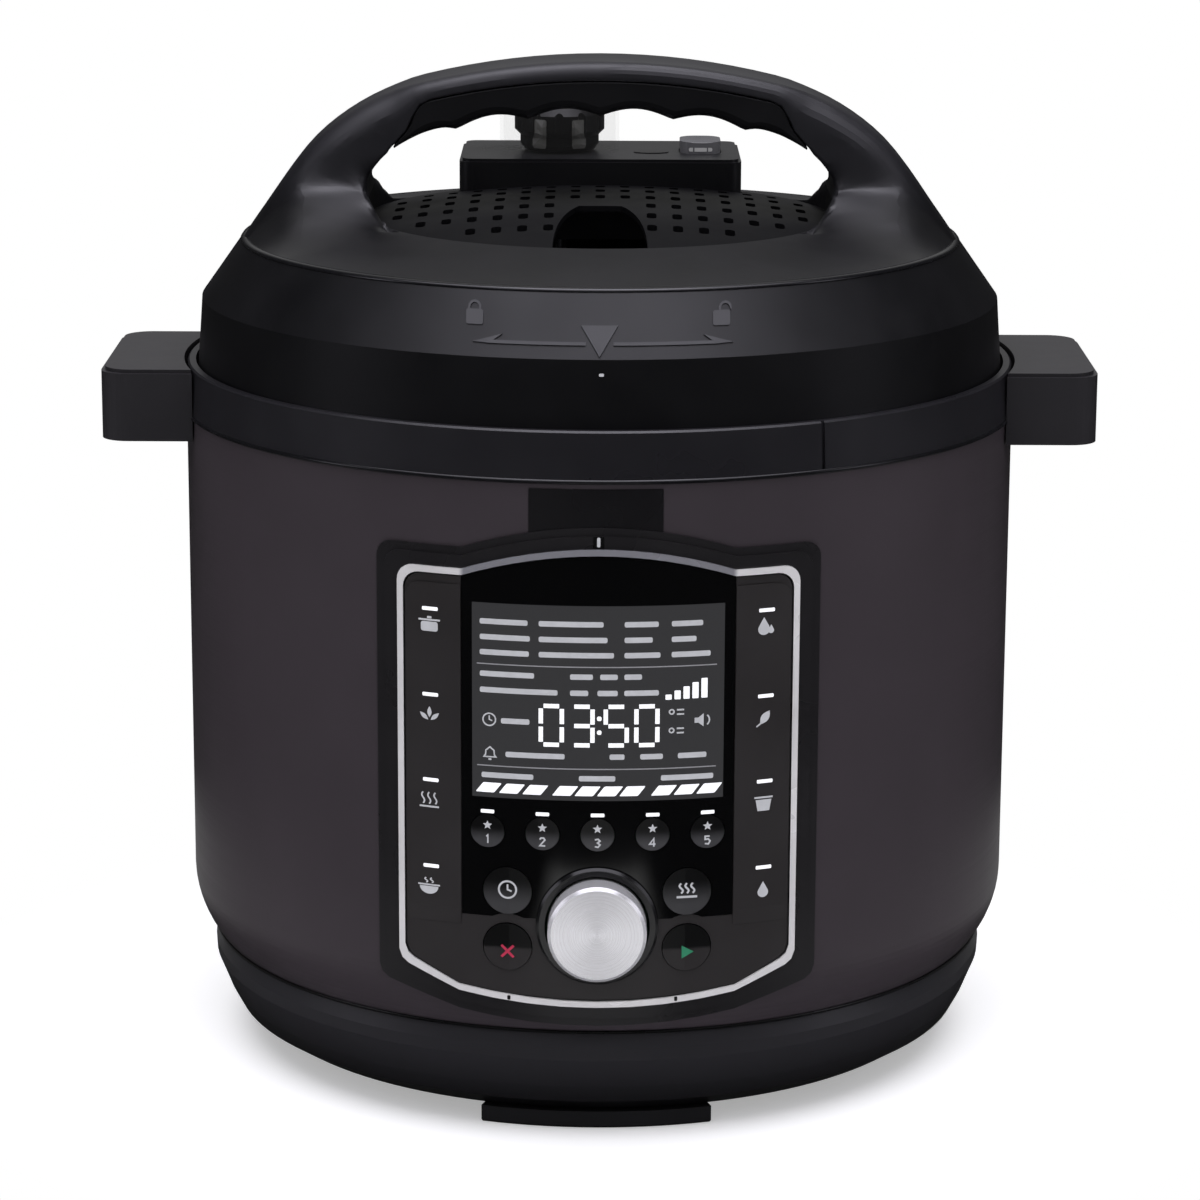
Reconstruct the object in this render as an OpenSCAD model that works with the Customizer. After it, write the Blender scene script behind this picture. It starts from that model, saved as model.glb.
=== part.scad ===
// Electric pressure cooker: a round steel-clad body with a curved control panel, an inner pot in a
// lugged outer pot, and a bayonet lid with an arched handle.
// Units are millimetres. The origin is on the pot's axis, in the plane of the feet. Front is -Y.

/* [Body] */
// Outer radius of the steel shell
shell_r = 137.5; // [130:0.5:150]
// Height of the seam between the base housing and the shell
seam_z = 36.5; // [32:0.5:42]
// Height of the shell's top edge
shell_top_z = 213.7; // [205:0.1:225]
// Thickness of the shell's sheet
shell_wall = 0.9; // [0.6:0.1:1.5]
// How far the shell rolls in to the seam
seam_inset = 7.7; // [5.5:0.1:11]
// Height over which the shell curves in to the seam
tuck_h = 21; // [15:1:26]
// How far the base housing's bottom edge lies inside the shell's radius
base_inset = 22; // [18:0.5:28]
// Wall of the moulded plastic parts
plastic_wall = 2.6; // [2:0.1:3.5]

/* [Feet] */
// Height of the rubber feet below the base housing
foot_h = 5.9; // [4:0.1:8]
// Length of each foot along the rim of the base
foot_len = 74; // [50:1:80]
// Radial width of each foot
foot_w = 17; // [10:1:20]

/* [Upper ring] */
// Height of the moulded ring above the shell
ring_h = 16.3; // [14:0.1:20]
// Draft of the ring's outer wall over its height
ring_draft = 1; // [0:0.1:2]
// Turn from closed to open, where the opening mark stands
open_angle = 30; // [24:1:34]

/* [Side handles] */
// How far a side handle reaches out from the shell
handle_out = 25.5; // [18:0.5:32]
// Front-to-back length of a side handle
side_handle_len = 77; // [60:1:90]
// Height of a side handle
side_handle_h = 23.5; // [18:0.5:28]

/* [Inner pot] */
// Space from the shell's outside to the inner pot's inside
pot_inset = 27.5; // [26.5:0.5:32]
// Wall of the inner pot
pot_wall = 1.2; // [0.8:0.1:1.8]
// Outside height of the inner pot
pot_h = 168; // [150:1:172]

/* [Outer pot] */
// Gap between the inner pot and the outer pot
pot_gap = 2.2; // [1.5:0.1:3]
// Sheet of the outer pot
liner_wall = 1.2; // [0.8:0.1:1.6]
// Number of locking lugs on the outer pot and on the lid
lug_count = 6; // [5:1:6]
// Angle that each locking lug spans
lug_angle = 26; // [20:1:28]
// Sheet of the locking flange
flange_t = 2.2; // [1.5:0.1:3]

/* [Lid] */
// How far the lid's skirt lies inside the shell's radius
skirt_inset = 3.9; // [2.5:0.1:6]
// Height of the crease between the skirt and the cone
crease_z = 251; // [246:0.5:256]
// How far the skirt leans in on its way up to the crease
skirt_lean = 1.8; // [0.5:0.1:4]
// Rise of the cone for each millimetre inwards
cone_rise = 1.4; // [1.2:0.05:1.7]
// Height of the shoulder at the cone's top edge
shoulder_z = 270.5; // [266:0.5:275]
// Radius of the vent grille
grille_r = 76; // [60:1:80]
// Height of the grille at its rim
grille_rim_z = 276.5; // [273:0.5:279]
// Rise of the domed grille above its rim
grille_rise = 6; // [4:0.5:10]
// Radius of a vent slot's rounded ends
vent_r = 1.6; // [1.2:0.1:2.5]
// Length of a vent slot from front to back
vent_len = 8; // [5:0.5:10]
// Spacing of the vent slots from side to side
vent_pitch_x = 8.3; // [7:0.1:11]
// Spacing of the vent slots from front to back
vent_pitch_y = 17; // [14:0.5:20]

/* [Carry handle] */
// Height of the top of the arched handle
arch_top_z = 328.6; // [320:0.2:335]
// Radius of the arch's crown, seen from the front
arch_crown_r = 245; // [220:5:280]
// Half-width over which the crown keeps that radius
arch_crown_x = 58; // [50:1:64]
// Height of the grip's underside between two finger scallops
grip_low_z = 310.8; // [304:0.2:314]
// Half of the handle's depth at the crown
arch_half_d = 17; // [14:0.5:20]
// Half of the handle's depth at its roots
root_half_d = 20; // [17:0.5:24]
// Depth of a finger scallop
scallop_depth = 2.6; // [1:0.1:4]
// Spacing of the finger scallops
scallop_pitch = 23.5; // [20:0.5:26]
// Radius of the rounded mound that carries each root
mound_r = 114.8; // [105:0.2:125]
// Height of the mound's crest
mound_top_z = 289.4; // [286:0.2:292]

/* [Valve housing] */
// Width of the valve housing
housing_w = 96.4; // [90:0.2:104]
// Distance from the pot's axis to the housing's front face
housing_front_y = 42; // [38:0.5:48]
// Depth of the valve housing from front to back
housing_d = 54; // [48:1:56]
// Height of the housing's top face
housing_top_z = 289.4; // [286:0.2:294]
// Sideways place of the steam valve
valve_x = -14.2; // [-20:0.1:-8]
// Distance of the steam valve behind the pot's axis
valve_y = 69; // [66:0.5:72]
// Inside radius of the clear shield round the steam valve
shield_r = 19.4; // [17:0.1:21]
// Height of the shield above the housing
shield_h = 18; // [12:1:24]
// Radius of the steam valve's knob
steam_knob_r = 15.6; // [13:0.1:17]
// Lift of the steam valve when it vents
valve_lift = 2; // [1.5:0.1:3]
// Sideways place of the quick-release button
button_x = 34.5; // [28:0.5:38]
// Travel of the quick-release button
button_travel = 4; // [3:0.1:5]
// Distance of the float valve in front of the pot's axis
float_y = 60; // [54:1:64]
// Lift of the float valve under pressure
float_lift = 5; // [3:0.5:7]

/* [Control panel] */
// Width of the panel over its bright trim
panel_w = 124; // [116:1:130]
// Height of the panel's lower edge at its middle
panel_low_z = 48; // [46:0.5:52]
// Height of the panel's top edge at its sides
panel_side_z = 186.5; // [180:0.5:190]
// Height of the panel's arched top edge at its middle
panel_arch_z = 194; // [190:0.5:200]
// Height of the panel's surface above the shell
panel_rise = 1.9; // [1.5:0.1:3]
// Width of the bright trim
trim_w = 1.9; // [1.2:0.1:2.5]
// Width of the glossy middle of the panel
gloss_w = 84; // [76:1:90]
// Width of the display window
display_w = 77.4; // [64:0.2:80]
// Height of the display window
display_h = 61.5; // [48:0.5:64]
// Height of the display window's lower edge
display_z = 114.8; // [113:0.2:118]
// Inward travel of a key
key_travel = 0.5; // [0.3:0.1:1]
// Radius of a preset key
preset_r = 5.2; // [4:0.1:6]
// Spacing of the preset keys
preset_pitch = 17; // [15:0.5:18]
// Radius of the keys beside the dial
round_key_r = 7.5; // [6:0.1:8]
// Distance of the keys beside the dial from the middle
round_key_x = 27.8; // [27.6:0.1:31]
// Width of a program key
program_key_w = 13; // [10:0.5:15]
// Height of a program key
program_key_h = 15; // [8:0.5:18]
// Spacing of the program keys in a column
program_pitch = 27; // [22:0.5:28]

/* [Dial] */
// Radius of the dial's knob
dial_r = 15.3; // [12:0.1:16]
// Height of the knob's face above the panel
dial_h = 10; // [7:0.5:13]
// Height of the dial's centre
dial_z = 74.6; // [72:0.2:76]
// Inward travel of the dial
dial_travel = 1.2; // [0.6:0.1:2]
// Radius of the dial's shaft
dial_shaft_r = 3; // [2:0.1:4]

/* [Condensation collector] */
// Width of the condensation collector
cup_w = 58; // [46:1:66]
// Height of the condensation collector
cup_h = 58; // [45:1:70]
// How far the collector stands out from the shell
cup_out = 15; // [12:0.5:21]
// Wall of the collector
cup_wall = 1.5; // [1.2:0.1:2.5]

/* [Clearances] */
// Gap between parts that lie against each other
seat_gap = 0.1; // [0.05:0.05:0.2]
// Gap round a part that moves past another
moving_gap = 0.3; // [0.2:0.05:0.4]
// Radial clearance of a shaft in its bore
shaft_gap = 0.03; // [0.02:0.01:0.08]

/* [Hidden] */
$fn = 96;

// Body heights and radii
seam_r = shell_r - seam_inset;
base_bottom_r = shell_r - base_inset;
handle_reach = shell_r + handle_out;
base_z = foot_h;
floor_z = base_z + plastic_wall;
ring_top_z = shell_top_z + ring_h;
inner_r = shell_r - shell_wall;

// Pots: the inner pot hangs in the outer pot and stands on the heating plate
pot_r = shell_r - pot_inset;
pot_out_r = pot_r + pot_wall;
pot_floor_z = ring_top_z + 0.5 - pot_h;
pot_rim_z = ring_top_z + 0.5;
liner_r = pot_out_r + pot_gap;
liner_out_r = liner_r + liner_wall;
plate_t = 12;
liner_floor_z = pot_floor_z - plate_t - 3;
flange_z = pot_rim_z - 1.6 - flange_t - 1;
flange_r = liner_out_r + 5.5;
lug_r = flange_r + 5.2;

// Lid: lugs reach under the flange
skirt_r = shell_r - skirt_inset;
crease_r = skirt_r - skirt_lean;
rim_in_r = lug_r + 1.4;
rim_t = 1.2;
lid_lug_in_r = flange_r + 1.2;
lid_lug_z = flange_z - 1.3 - 2.4;
lid_sheet_z = pot_rim_z + 6;
shoulder_r = crease_r - (shoulder_z - crease_z) / cone_rise;
grille_dome_r = (grille_r * grille_r + grille_rise * grille_rise) / (2 * grille_rise);
trough_z = lid_lug_z - 2.6;

// Handle: slopes where the crown, the shoulders and the cone's line meet
cone_slope = atan(cone_rise);
crown_slope = asin(arch_crown_x / arch_crown_r);
crown_end_z = arch_top_z - arch_crown_r * (1 - cos(crown_slope));
// Radius of the arch's shoulder that runs from the crown into the cone's line without a corner
arch_shoulder_r = (crease_r - (crown_end_z - crease_z) / cone_rise - arch_crown_x)
    / ((sin(cone_slope) - sin(crown_slope))
       - (cos(crown_slope) - cos(cone_slope)) / cone_rise);
grip_crown_r = 250;
grip_crown_x = 50;
grip_slope = asin(grip_crown_x / grip_crown_r);
grip_knee = 50;
grip_shoulder_r = 36;
grip_corner_r = 14;
grip_share = 0.66;
grip_seam = 0.35;

// Panel: every face is curved about the pot's axis
panel_r = shell_r + panel_rise;
panel_back_r = shell_r - 1.8;
band_z = 76.5;
bump_r = 10.7;
preset_z = 104;
upper_key_z = dial_z + 10.5;
lower_key_z = dial_z - 7.7;
program_x = (panel_w / 2 - trim_w + gloss_w / 2) / 2;
program_z = 88.5;
key_proud = 0.5;
key_min_t = 2.2;
board_y = -(shell_r - 17.5);
board_t = 1.6;
dial_face_y = -(panel_r + dial_h);
collar_r = dial_r + 3.6;

// Valve housing
housing_back_y = housing_front_y + housing_d;
housing_low_z = 262;
pipe_r = 4;
button_w = 14;
button_d = 20;
button_y = valve_y - 1;
lever_y = valve_y;
lever_z = housing_top_z - 15;
lever_pivot_x = valve_x + (button_x - valve_x) * valve_lift / (valve_lift + button_travel);

// Collector
cup_back_y = shell_r + cup_out;
cup_top_z = shell_top_z - 8;
cup_front_r = shell_r + 2.4;
rail_z = cup_top_z - 4;

// ---------------------------------------------------------------- shared shapes

// A revolved tube between two heights
module tube(r_out, r_in, z_low, z_high) {
    translate([0, 0, z_low])
        difference() {
            cylinder(r = r_out, h = z_high - z_low);
            translate([0, 0, -1]) cylinder(r = r_in, h = z_high - z_low + 2);
        }
}

// A pie-shaped ring piece, centred on the direction `mid`
module ring_piece(r_out, r_in, z_low, z_high, mid, span) {
    translate([0, 0, z_low])
        rotate([0, 0, mid - span / 2])
            rotate_extrude(angle = span)
                translate([r_in, 0])
                    square([r_out - r_in, z_high - z_low]);
}

// Points on a circular arc, from angle a0 to angle a1
function arc(cx, cy, r, a0, a1, n) =
    [for (i = [0 : n]) let (a = a0 + (a1 - a0) * i / n) [cx + r * cos(a), cy + r * sin(a)]];

function mirrored(half) = concat(half, [for (i = [len(half) - 1 : -1 : 0]) [-half[i].x, half[i].y]]);

// A rounded rectangle, centred
module rounded(w, h, r) {
    hull_w = w - 2 * r;
    hull_h = h - 2 * r;
    square([hull_w, h], center = true);
    square([w, hull_h], center = true);
    for (sx = [-1, 1], sy = [-1, 1])
        translate([sx * hull_w / 2, sy * hull_h / 2]) circle(r = r);
}

// Stands a flat outline up in the XZ plane, from y_front back to y_back
module upright(y_front, y_back) {
    translate([0, y_back, 0])
        rotate([90, 0, 0])
            linear_extrude(y_back - y_front)
                children();
}

// A solid skin of revolution lofted through closed rings of points, with flat ends
module loft(rings) {
    n = len(rings[0]);
    last = len(rings) - 1;
    points = [for (ring = rings, p = ring) p];
    sides = [for (i = [0 : last - 1], j = [0 : n - 1])
        let (k = (j + 1) % n)
        [i * n + j, i * n + k, (i + 1) * n + k, (i + 1) * n + j]];
    start = [[for (j = [n - 1 : -1 : 0]) j]];
    end = [[for (j = [0 : n - 1]) last * n + j]];
    polyhedron(points = points, faces = concat(sides, start, end), convexity = 8);
}

// A coil spring of round wire that stands on z = 0
module coil(r, wire_r, h, turns) {
    sides = 8;
    steps = turns * 16;
    rise = h - 2 * wire_r;
    rings = [for (i = [0 : steps])
        let (a = 360 * i / 16, z = wire_r + rise * i / steps)
        [for (j = [0 : sides - 1])
            let (b = -360 * j / sides, q = r + wire_r * cos(b))
            [q * cos(a), q * sin(a), z + wire_r * sin(b)]]];
    loft(rings);
}

// A countersunk cross-head screw that points down from z = 0
module screw(head_r, shank_r, length) {
    difference() {
        union() {
            translate([0, 0, -head_r * 0.6]) cylinder(r1 = head_r * 0.6, r2 = head_r, h = head_r * 0.6);
            translate([0, 0, -length]) cylinder(r = shank_r, h = length - head_r * 0.5);
        }
        for (turn = [0, 90])
            rotate([0, 0, turn])
                translate([-head_r * 0.55, -0.4, -1.2]) cube([head_r * 1.1, 0.8, 2]);
    }
}

// ---------------------------------------------------------------- base

base_curve = [
    [base_bottom_r, base_z],
    [base_bottom_r + 7.9, base_z + 5.1],
    [base_bottom_r + 11.1, base_z + 11.1],
    [seam_r + 0.8, seam_z - 9.5],
    [seam_r + 1, seam_z - 5.5],
    [seam_r - 0.9, seam_z]
];
cover_r = base_bottom_r - 31.5;
cover_top_z = floor_z - 0.4 - seat_gap;
// Directions of the four bosses that carry the base, clear of the feet
boss_turns = [45, 135, 225, 315];
boss_r = base_bottom_r - 15.5;

module base_housing() {
    inner_curve = [for (i = [len(base_curve) - 1 : -1 : 0])
        [base_curve[i].x - plastic_wall, i == 0 ? floor_z : base_curve[i].y + (i == 5 ? 0 : 0.6)]];
    color([0.1, 0.1, 0.105])
        difference() {
            union() {
                rotate_extrude()
                    polygon(concat([[cover_r + 0.2, base_z]], base_curve, inner_curve,
                                   [[cover_r + 0.2, floor_z]]));
                for (turn = boss_turns)
                    rotate([0, 0, turn])
                        translate([boss_r, 0, base_z])
                            difference() {
                                cylinder(r = 5, h = liner_floor_z - base_z - seat_gap);
                                translate([0, 0, 12]) cylinder(r = 1.8, h = 60);
                            }
                ring_piece(cover_r + 0.2 + 6, cover_r - 3, floor_z - 0.4, floor_z + 1.4, 0, 360);
                for (turn = [30, 150, 270])
                    rotate([0, 0, turn])
                        translate([cover_r - 5, 0, floor_z - 0.2]) cylinder(r = 4.5, h = 9.8);
            }
            for (turn = [30, 150, 270])
                rotate([0, 0, turn])
                    translate([cover_r - 5, 0, 0]) cylinder(r = 1.5, h = floor_z + 8);
            for (turn = foot_turns)
                foot_pocket(turn);
        }
}

foot_r = base_bottom_r + 2;
// Directions of the feet: one in front and two beside the back
foot_turns = [270, 17, 163];
foot_span = foot_len / foot_r * 180 / PI;

module foot_pocket(turn) {
    ring_piece(foot_r - foot_w + 3 + seat_gap, foot_r - foot_w - seat_gap,
               base_z - 1, base_z + 1.2, turn, foot_span + 0.3);
}

module rubber_feet() {
    color([0.07, 0.07, 0.07])
        for (turn = foot_turns) {
            rotate([0, 0, turn - foot_span / 2])
                rotate_extrude(angle = foot_span)
                    polygon([
                        [foot_r - foot_w + 1, 0],
                        [foot_r, 0],
                        [foot_r + 1.2, 1],
                        [foot_r + 1.2, base_z - seat_gap],
                        [foot_r - foot_w, base_z - seat_gap],
                        [foot_r - foot_w, 1]
                    ]);
            ring_piece(foot_r - foot_w + 3, foot_r - foot_w, base_z - 0.5, base_z + 1.1, turn, foot_span);
        }
}

// Round cover in the floor, with rings of air slots
module bottom_cover() {
    color([0.42, 0.43, 0.44])
        difference() {
            translate([0, 0, base_z]) cylinder(r = cover_r, h = cover_top_z - base_z);
            for (band = [26, 42, 58], turn = [0 : 30 : 330])
                rotate([0, 0, turn + band])
                    translate([band, 0, base_z - 1])
                        linear_extrude(plastic_wall + 2)
                            rounded(9, 3.4, 1.6);
            for (turn = [30, 150, 270])
                rotate([0, 0, turn])
                    translate([cover_r - 5, 0, base_z - 1]) cylinder(r = 3.4, h = 6);
        }
}

module housing_screws() {
    color([0.6, 0.6, 0.62])
        for (turn = [30, 150, 270])
            rotate([0, 0, turn])
                translate([cover_r - 5, 0, base_z + 0.2])
                    rotate([180, 0, 0]) screw(3.3, 1.45, 8);
}

// ---------------------------------------------------------------- shell and ring

module outer_shell() {
    straight_z = seam_z + tuck_h;
    // The lower part rolls in on an arc that leaves the wall upright
    tuck_in = shell_r - seam_r;
    tuck_r = (tuck_in * tuck_in + tuck_h * tuck_h) / (2 * tuck_in);
    tuck_a = asin(tuck_h / tuck_r);
    color([0.2, 0.18, 0.19])
        difference() {
            rotate_extrude()
                polygon(concat(
                    arc(shell_r - tuck_r, straight_z, tuck_r, -tuck_a, 0, 10),
                    [[shell_r, shell_top_z], [inner_r, shell_top_z]],
                    arc(shell_r - tuck_r, straight_z, tuck_r - shell_wall, 0, -tuck_a, 10)
                ));
            upright(-shell_r - 5, -90) polygon(panel_outline(0.2));
            upright(100, shell_r + 5) translate([inlet_x, inlet_z]) rounded(inlet_w - 4, inlet_h - 4, 3);
        }
}

module upper_ring() {
    in_r = skirt_r + 0.7;
    color([0.16, 0.16, 0.165])
        difference() {
            union() {
                rotate_extrude()
                    polygon([
                        [shell_r + 0.5, shell_top_z + seat_gap],
                        [shell_r + 0.5 - ring_draft, ring_top_z - 0.6],
                        [shell_r - 0.1 - ring_draft, ring_top_z],
                        [in_r, ring_top_z],
                        [in_r, trough_z],
                        [lid_lug_in_r - 2, trough_z],
                        [lid_lug_in_r - 2, flange_z - seat_gap],
                        [liner_out_r + 0.3, flange_z - seat_gap],
                        [liner_out_r + 0.3, trough_z - plastic_wall],
                        [inner_r - 0.4, trough_z - plastic_wall],
                        [inner_r - 0.4, shell_top_z + seat_gap]
                    ]);
                collector_rails();
                // Drip spout that leads the trough's water to the collector
                translate([-7, skirt_r - 4, trough_z - 5])
                    cube([14, cup_back_y - 6 - skirt_r + 4, ring_top_z - trough_z - 2]);
            }
            translate([0, 0, trough_z]) cylinder(r = in_r, h = 40);
            translate([-3, in_r - 4, trough_z - 0.01]) cube([6, cup_back_y - 9 - in_r, 4]);
            translate([0, cup_back_y - 9, trough_z - 8]) cylinder(r = 2.6, h = 11);
            // Opening mark on the ring's outside
            rotate([0, 0, open_angle])
                translate([-0.6, -shell_r - 2, shell_top_z + 1])
                    cube([1.2, 2.1 + ring_draft, ring_h]);
        }
    // Wall of the trough round the pot stays whole where the spout was cut
    color([0.16, 0.16, 0.165])
        tube(lid_lug_in_r - 2, liner_out_r + 0.3, trough_z - 1, flange_z - seat_gap);
}

// Two hooked rails below the ring's back, on which the collector hangs
module collector_rails() {
    side_x = cup_w / 2 + 3 + moving_gap;
    rail_end_y = cup_back_y - 7;
    difference() {
        for (side = [-1, 1]) {
            translate([side * (side_x + 1.3) - 1.3, shell_r - 12, rail_z - 1.8])
                cube([2.6, rail_end_y - shell_r + 12, shell_top_z + 2 - rail_z + 1.8]);
            translate([side * (cup_w / 2 + moving_gap + 2) - 2, shell_r - 12, rail_z - 1.8])
                cube([4, rail_end_y - shell_r + 12, 1.8]);
        }
        cylinder(r = shell_r + seat_gap, h = shell_top_z + seat_gap);
    }
}

// Plan of a side handle on the right, seen from above
module side_handle_plan(inset) {
    half = side_handle_len / 2 - inset;
    reach = handle_reach - inset;
    corner = 9;
    polygon(concat(
        [[shell_r - 20, -half]],
        arc(reach - corner, -half + corner, corner, -90, 0, 8),
        arc(reach - corner, half - corner, corner, 0, 90, 8),
        [[shell_r - 20, half]]
    ));
}

handle_top_z = ring_top_z + 0.4;
handle_low_z = handle_top_z - side_handle_h;

module side_handle() {
    difference() {
        union() {
            translate([0, 0, handle_low_z])
                linear_extrude(side_handle_h - 1.2) side_handle_plan(0);
            translate([0, 0, handle_top_z - 1.3])
                linear_extrude(1.3) side_handle_plan(1.2);
        }
        // Inner side follows the ring
        translate([0, 0, handle_low_z - 1])
            cylinder(r = shell_r + 0.5 + seat_gap, h = side_handle_h + 2);
        // Finger pocket, open below
        difference() {
            translate([0, 0, handle_low_z - 1])
                linear_extrude(side_handle_h - 3) side_handle_plan(3.2);
            translate([0, 0, handle_low_z - 2])
                cylinder(r = shell_r + 4.5, h = side_handle_h + 2);
        }
    }
}

module side_handle_right() {
    color([0.13, 0.13, 0.135]) side_handle();
}

module side_handle_left() {
    color([0.13, 0.13, 0.135]) mirror([1, 0, 0]) side_handle();
}

// ---------------------------------------------------------------- pots and heating

module outer_pot() {
    color([0.62, 0.62, 0.63]) {
        difference() {
            union() {
                tube(liner_out_r, liner_r, liner_floor_z, flange_z + flange_t);
                translate([0, 0, liner_floor_z]) cylinder(r = liner_out_r - 0.5, h = liner_wall);
                tube(flange_r, liner_r, flange_z, flange_z + flange_t);
                for (i = [0 : lug_count - 1])
                    ring_piece(lug_r, flange_r - 2, flange_z, flange_z + flange_t,
                               -90 + i * 360 / lug_count, lug_angle);
            }
            translate([0, 0, liner_floor_z - 1]) cylinder(r = 22, h = 6);
            for (turn = boss_turns)
                rotate([0, 0, turn])
                    translate([boss_r, 0, liner_floor_z - 1]) cylinder(r = 2, h = 6);
        }
    }
}

module inner_pot() {
    bend = 9;
    rim_out = pot_out_r + 5.6;
    color([0.72, 0.72, 0.73])
        rotate_extrude()
            polygon(concat(
                [[0, pot_floor_z]],
                arc(pot_out_r - bend, pot_floor_z + bend, bend, -90, 0, 8),
                [[pot_out_r, pot_rim_z - 1.6], [rim_out, pot_rim_z - 1.6]],
                arc(rim_out, pot_rim_z - 0.8, 0.8, -90, 90, 6),
                arc(pot_r + 1.5, pot_rim_z - 1.5, 1.5, 90, 180, 4),
                arc(pot_out_r - bend, pot_floor_z + bend, bend - pot_wall, 0, -90, 8),
                [[0, pot_floor_z + pot_wall]]
            ));
}

sensor_r = 14;

module heating_plate() {
    plate_r = pot_r - 16;
    color([0.55, 0.56, 0.58]) {
        difference() {
            translate([0, 0, pot_floor_z - plate_t]) cylinder(r = plate_r, h = plate_t);
            translate([0, 0, pot_floor_z - plate_t - 1]) cylinder(r = sensor_r + 3, h = plate_t + 2);
        }
        // Posts that stand on the outer pot's floor
        for (turn = boss_turns)
            rotate([0, 0, turn])
                translate([plate_r - 14, 0, liner_floor_z + liner_wall])
                    cylinder(r = 6, h = pot_floor_z - plate_t - liner_floor_z - liner_wall + 0.5);
        // Heating tube's ends turn down through the outer pot's hole
        for (side = [-1, 1])
            rotate([0, 0, side * 24])
                translate([sensor_r + 6.2, 0, liner_floor_z - 8])
                    cylinder(r = 1.5, h = pot_floor_z - plate_t - liner_floor_z + 8.5);
    }
}

// Spring-loaded sensor in the middle of the heating plate
spring_seat_z = liner_floor_z - 6;
sensor_low_z = pot_floor_z - 11;

module temperature_sensor() {
    color([0.75, 0.75, 0.76])
        rotate_extrude()
            polygon([
                [0, sensor_low_z + 3],
                [sensor_r - 2, sensor_low_z + 3],
                [sensor_r - 2, sensor_low_z],
                [sensor_r, sensor_low_z],
                [sensor_r, pot_floor_z - 1.5],
                [sensor_r - 1.2, pot_floor_z - moving_gap],
                [0, pot_floor_z - moving_gap]
            ]);
}

module sensor_spring() {
    color([0.7, 0.7, 0.72])
        translate([0, 0, spring_seat_z + 2.2])
            coil(9, 0.8, sensor_low_z + 3 - spring_seat_z - 2.2 - 0.2, 4);
}

// Holder of the sensor's spring, with the thermal fuse on its side
module thermal_fuse() {
    plate_low_z = pot_floor_z - plate_t;
    color([0.75, 0.72, 0.62]) {
        difference() {
            union() {
                translate([0, 0, spring_seat_z]) cylinder(r = sensor_r + 2.6, h = 2);
                tube(sensor_r + 2.6, sensor_r + moving_gap, spring_seat_z, plate_low_z + 4);
                translate([-30, -5, spring_seat_z]) cube([60, 10, 2]);
                for (side = [-1, 1])
                    translate([side * 26, 0, spring_seat_z])
                        cylinder(r = 3.5, h = liner_floor_z - spring_seat_z - seat_gap);
            }
            translate([0, 0, spring_seat_z + 2]) cylinder(r = sensor_r + moving_gap, h = 40);
            translate([0, 0, spring_seat_z - 1]) cylinder(r = 4, h = 5);
        }
        translate([0, -sensor_r - 7, spring_seat_z + 4])
            rotate([0, 90, 0]) cylinder(r = 2, h = 14, center = true);
        translate([-3, -sensor_r - 7, spring_seat_z + 2]) cube([6, 5.5, 4]);
    }
}

// Mains board on four posts on the bottom cover, with relay, transformer and capacitor
module power_board() {
    board_z = floor_z + 6;
    color([0.12, 0.34, 0.2])
        translate([-46, cover_r - 56, 0]) {
            translate([0, 0, board_z]) cube([62, 40, board_t]);
            for (x = [4, 58], y = [4, 36])
                translate([x, y, cover_top_z + seat_gap]) cylinder(r = 2.5, h = board_z - cover_top_z);
            translate([0, 0, board_z + board_t - 0.1]) {
                translate([8, 8, 0]) cube([20, 16, 11]);
                translate([33, 8, 0]) cube([14, 24, 9]);
                translate([54, 18, 0]) cylinder(r = 5, h = 11);
                translate([10, 27, 0]) cube([14, 10, 9]);
            }
        }
}

inlet_x = 0;
inlet_z = seam_z + 34;
inlet_w = 38;
inlet_h = 30;
socket_w = 24.6;
socket_h = 16.6;
socket_d = 17;

// Three-pin appliance inlet at the back
module power_inlet() {
    face_y = shell_r + 2.2;
    color([0.09, 0.09, 0.095])
        difference() {
            union() {
                upright(face_y - 4.5, face_y) translate([inlet_x, inlet_z]) rounded(inlet_w, inlet_h, 4);
                upright(face_y - socket_d - 3, face_y - 2)
                    translate([inlet_x, inlet_z]) rounded(socket_w + 4.6, socket_h + 4.6, 3);
            }
            // Flange is hollow behind so that it lies on the round shell
            difference() {
                upright(face_y - 30, face_y + 1)
                    translate([inlet_x, inlet_z]) rounded(inlet_w + 2, inlet_h + 2, 4);
                upright(face_y - socket_d - 4, face_y + 2)
                    translate([inlet_x, inlet_z]) rounded(socket_w + 4.6, socket_h + 4.6, 3);
                tube(face_y + 5, shell_r + seat_gap, seam_z, shell_top_z);
            }
            upright(face_y - socket_d, face_y + 1)
                translate([inlet_x, inlet_z]) rounded(socket_w, socket_h, 3);
        }
    color([0.8, 0.8, 0.78])
        for (pin = [[-7, -2], [7, -2], [0, 2]])
            translate([inlet_x + pin.x - 1, face_y - socket_d - 8, inlet_z + pin.y - 2])
                cube([2, 8 + socket_d - 6.5, 4]);
}

// ---------------------------------------------------------------- control panel

// Outline of the panel in the XZ plane, drawn in by `d` on every side
function panel_outline(d) =
    let (
        w = panel_w / 2 - d,
        low = panel_low_z + d,
        side = panel_side_z - d,
        top = panel_arch_z - d,
        arch_x = gloss_w / 2,
        corner = 5
    )
    mirrored(concat(
        [for (i = [0 : 4]) let (x = 43 * i / 4) [x, low + 3.5 * pow(x / 43, 2)]],
        [[w - 3, low + 10.2], [w - 1, low + 11.8], [w, low + 14.5]],
        arc(w - corner, side - corner, corner, 0, 90, 6),
        [for (i = [0 : 8]) let (x = arch_x * (1 - i / 8)) [x, top - (top - side) * pow(x / arch_x, 2)]]
    ));

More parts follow.
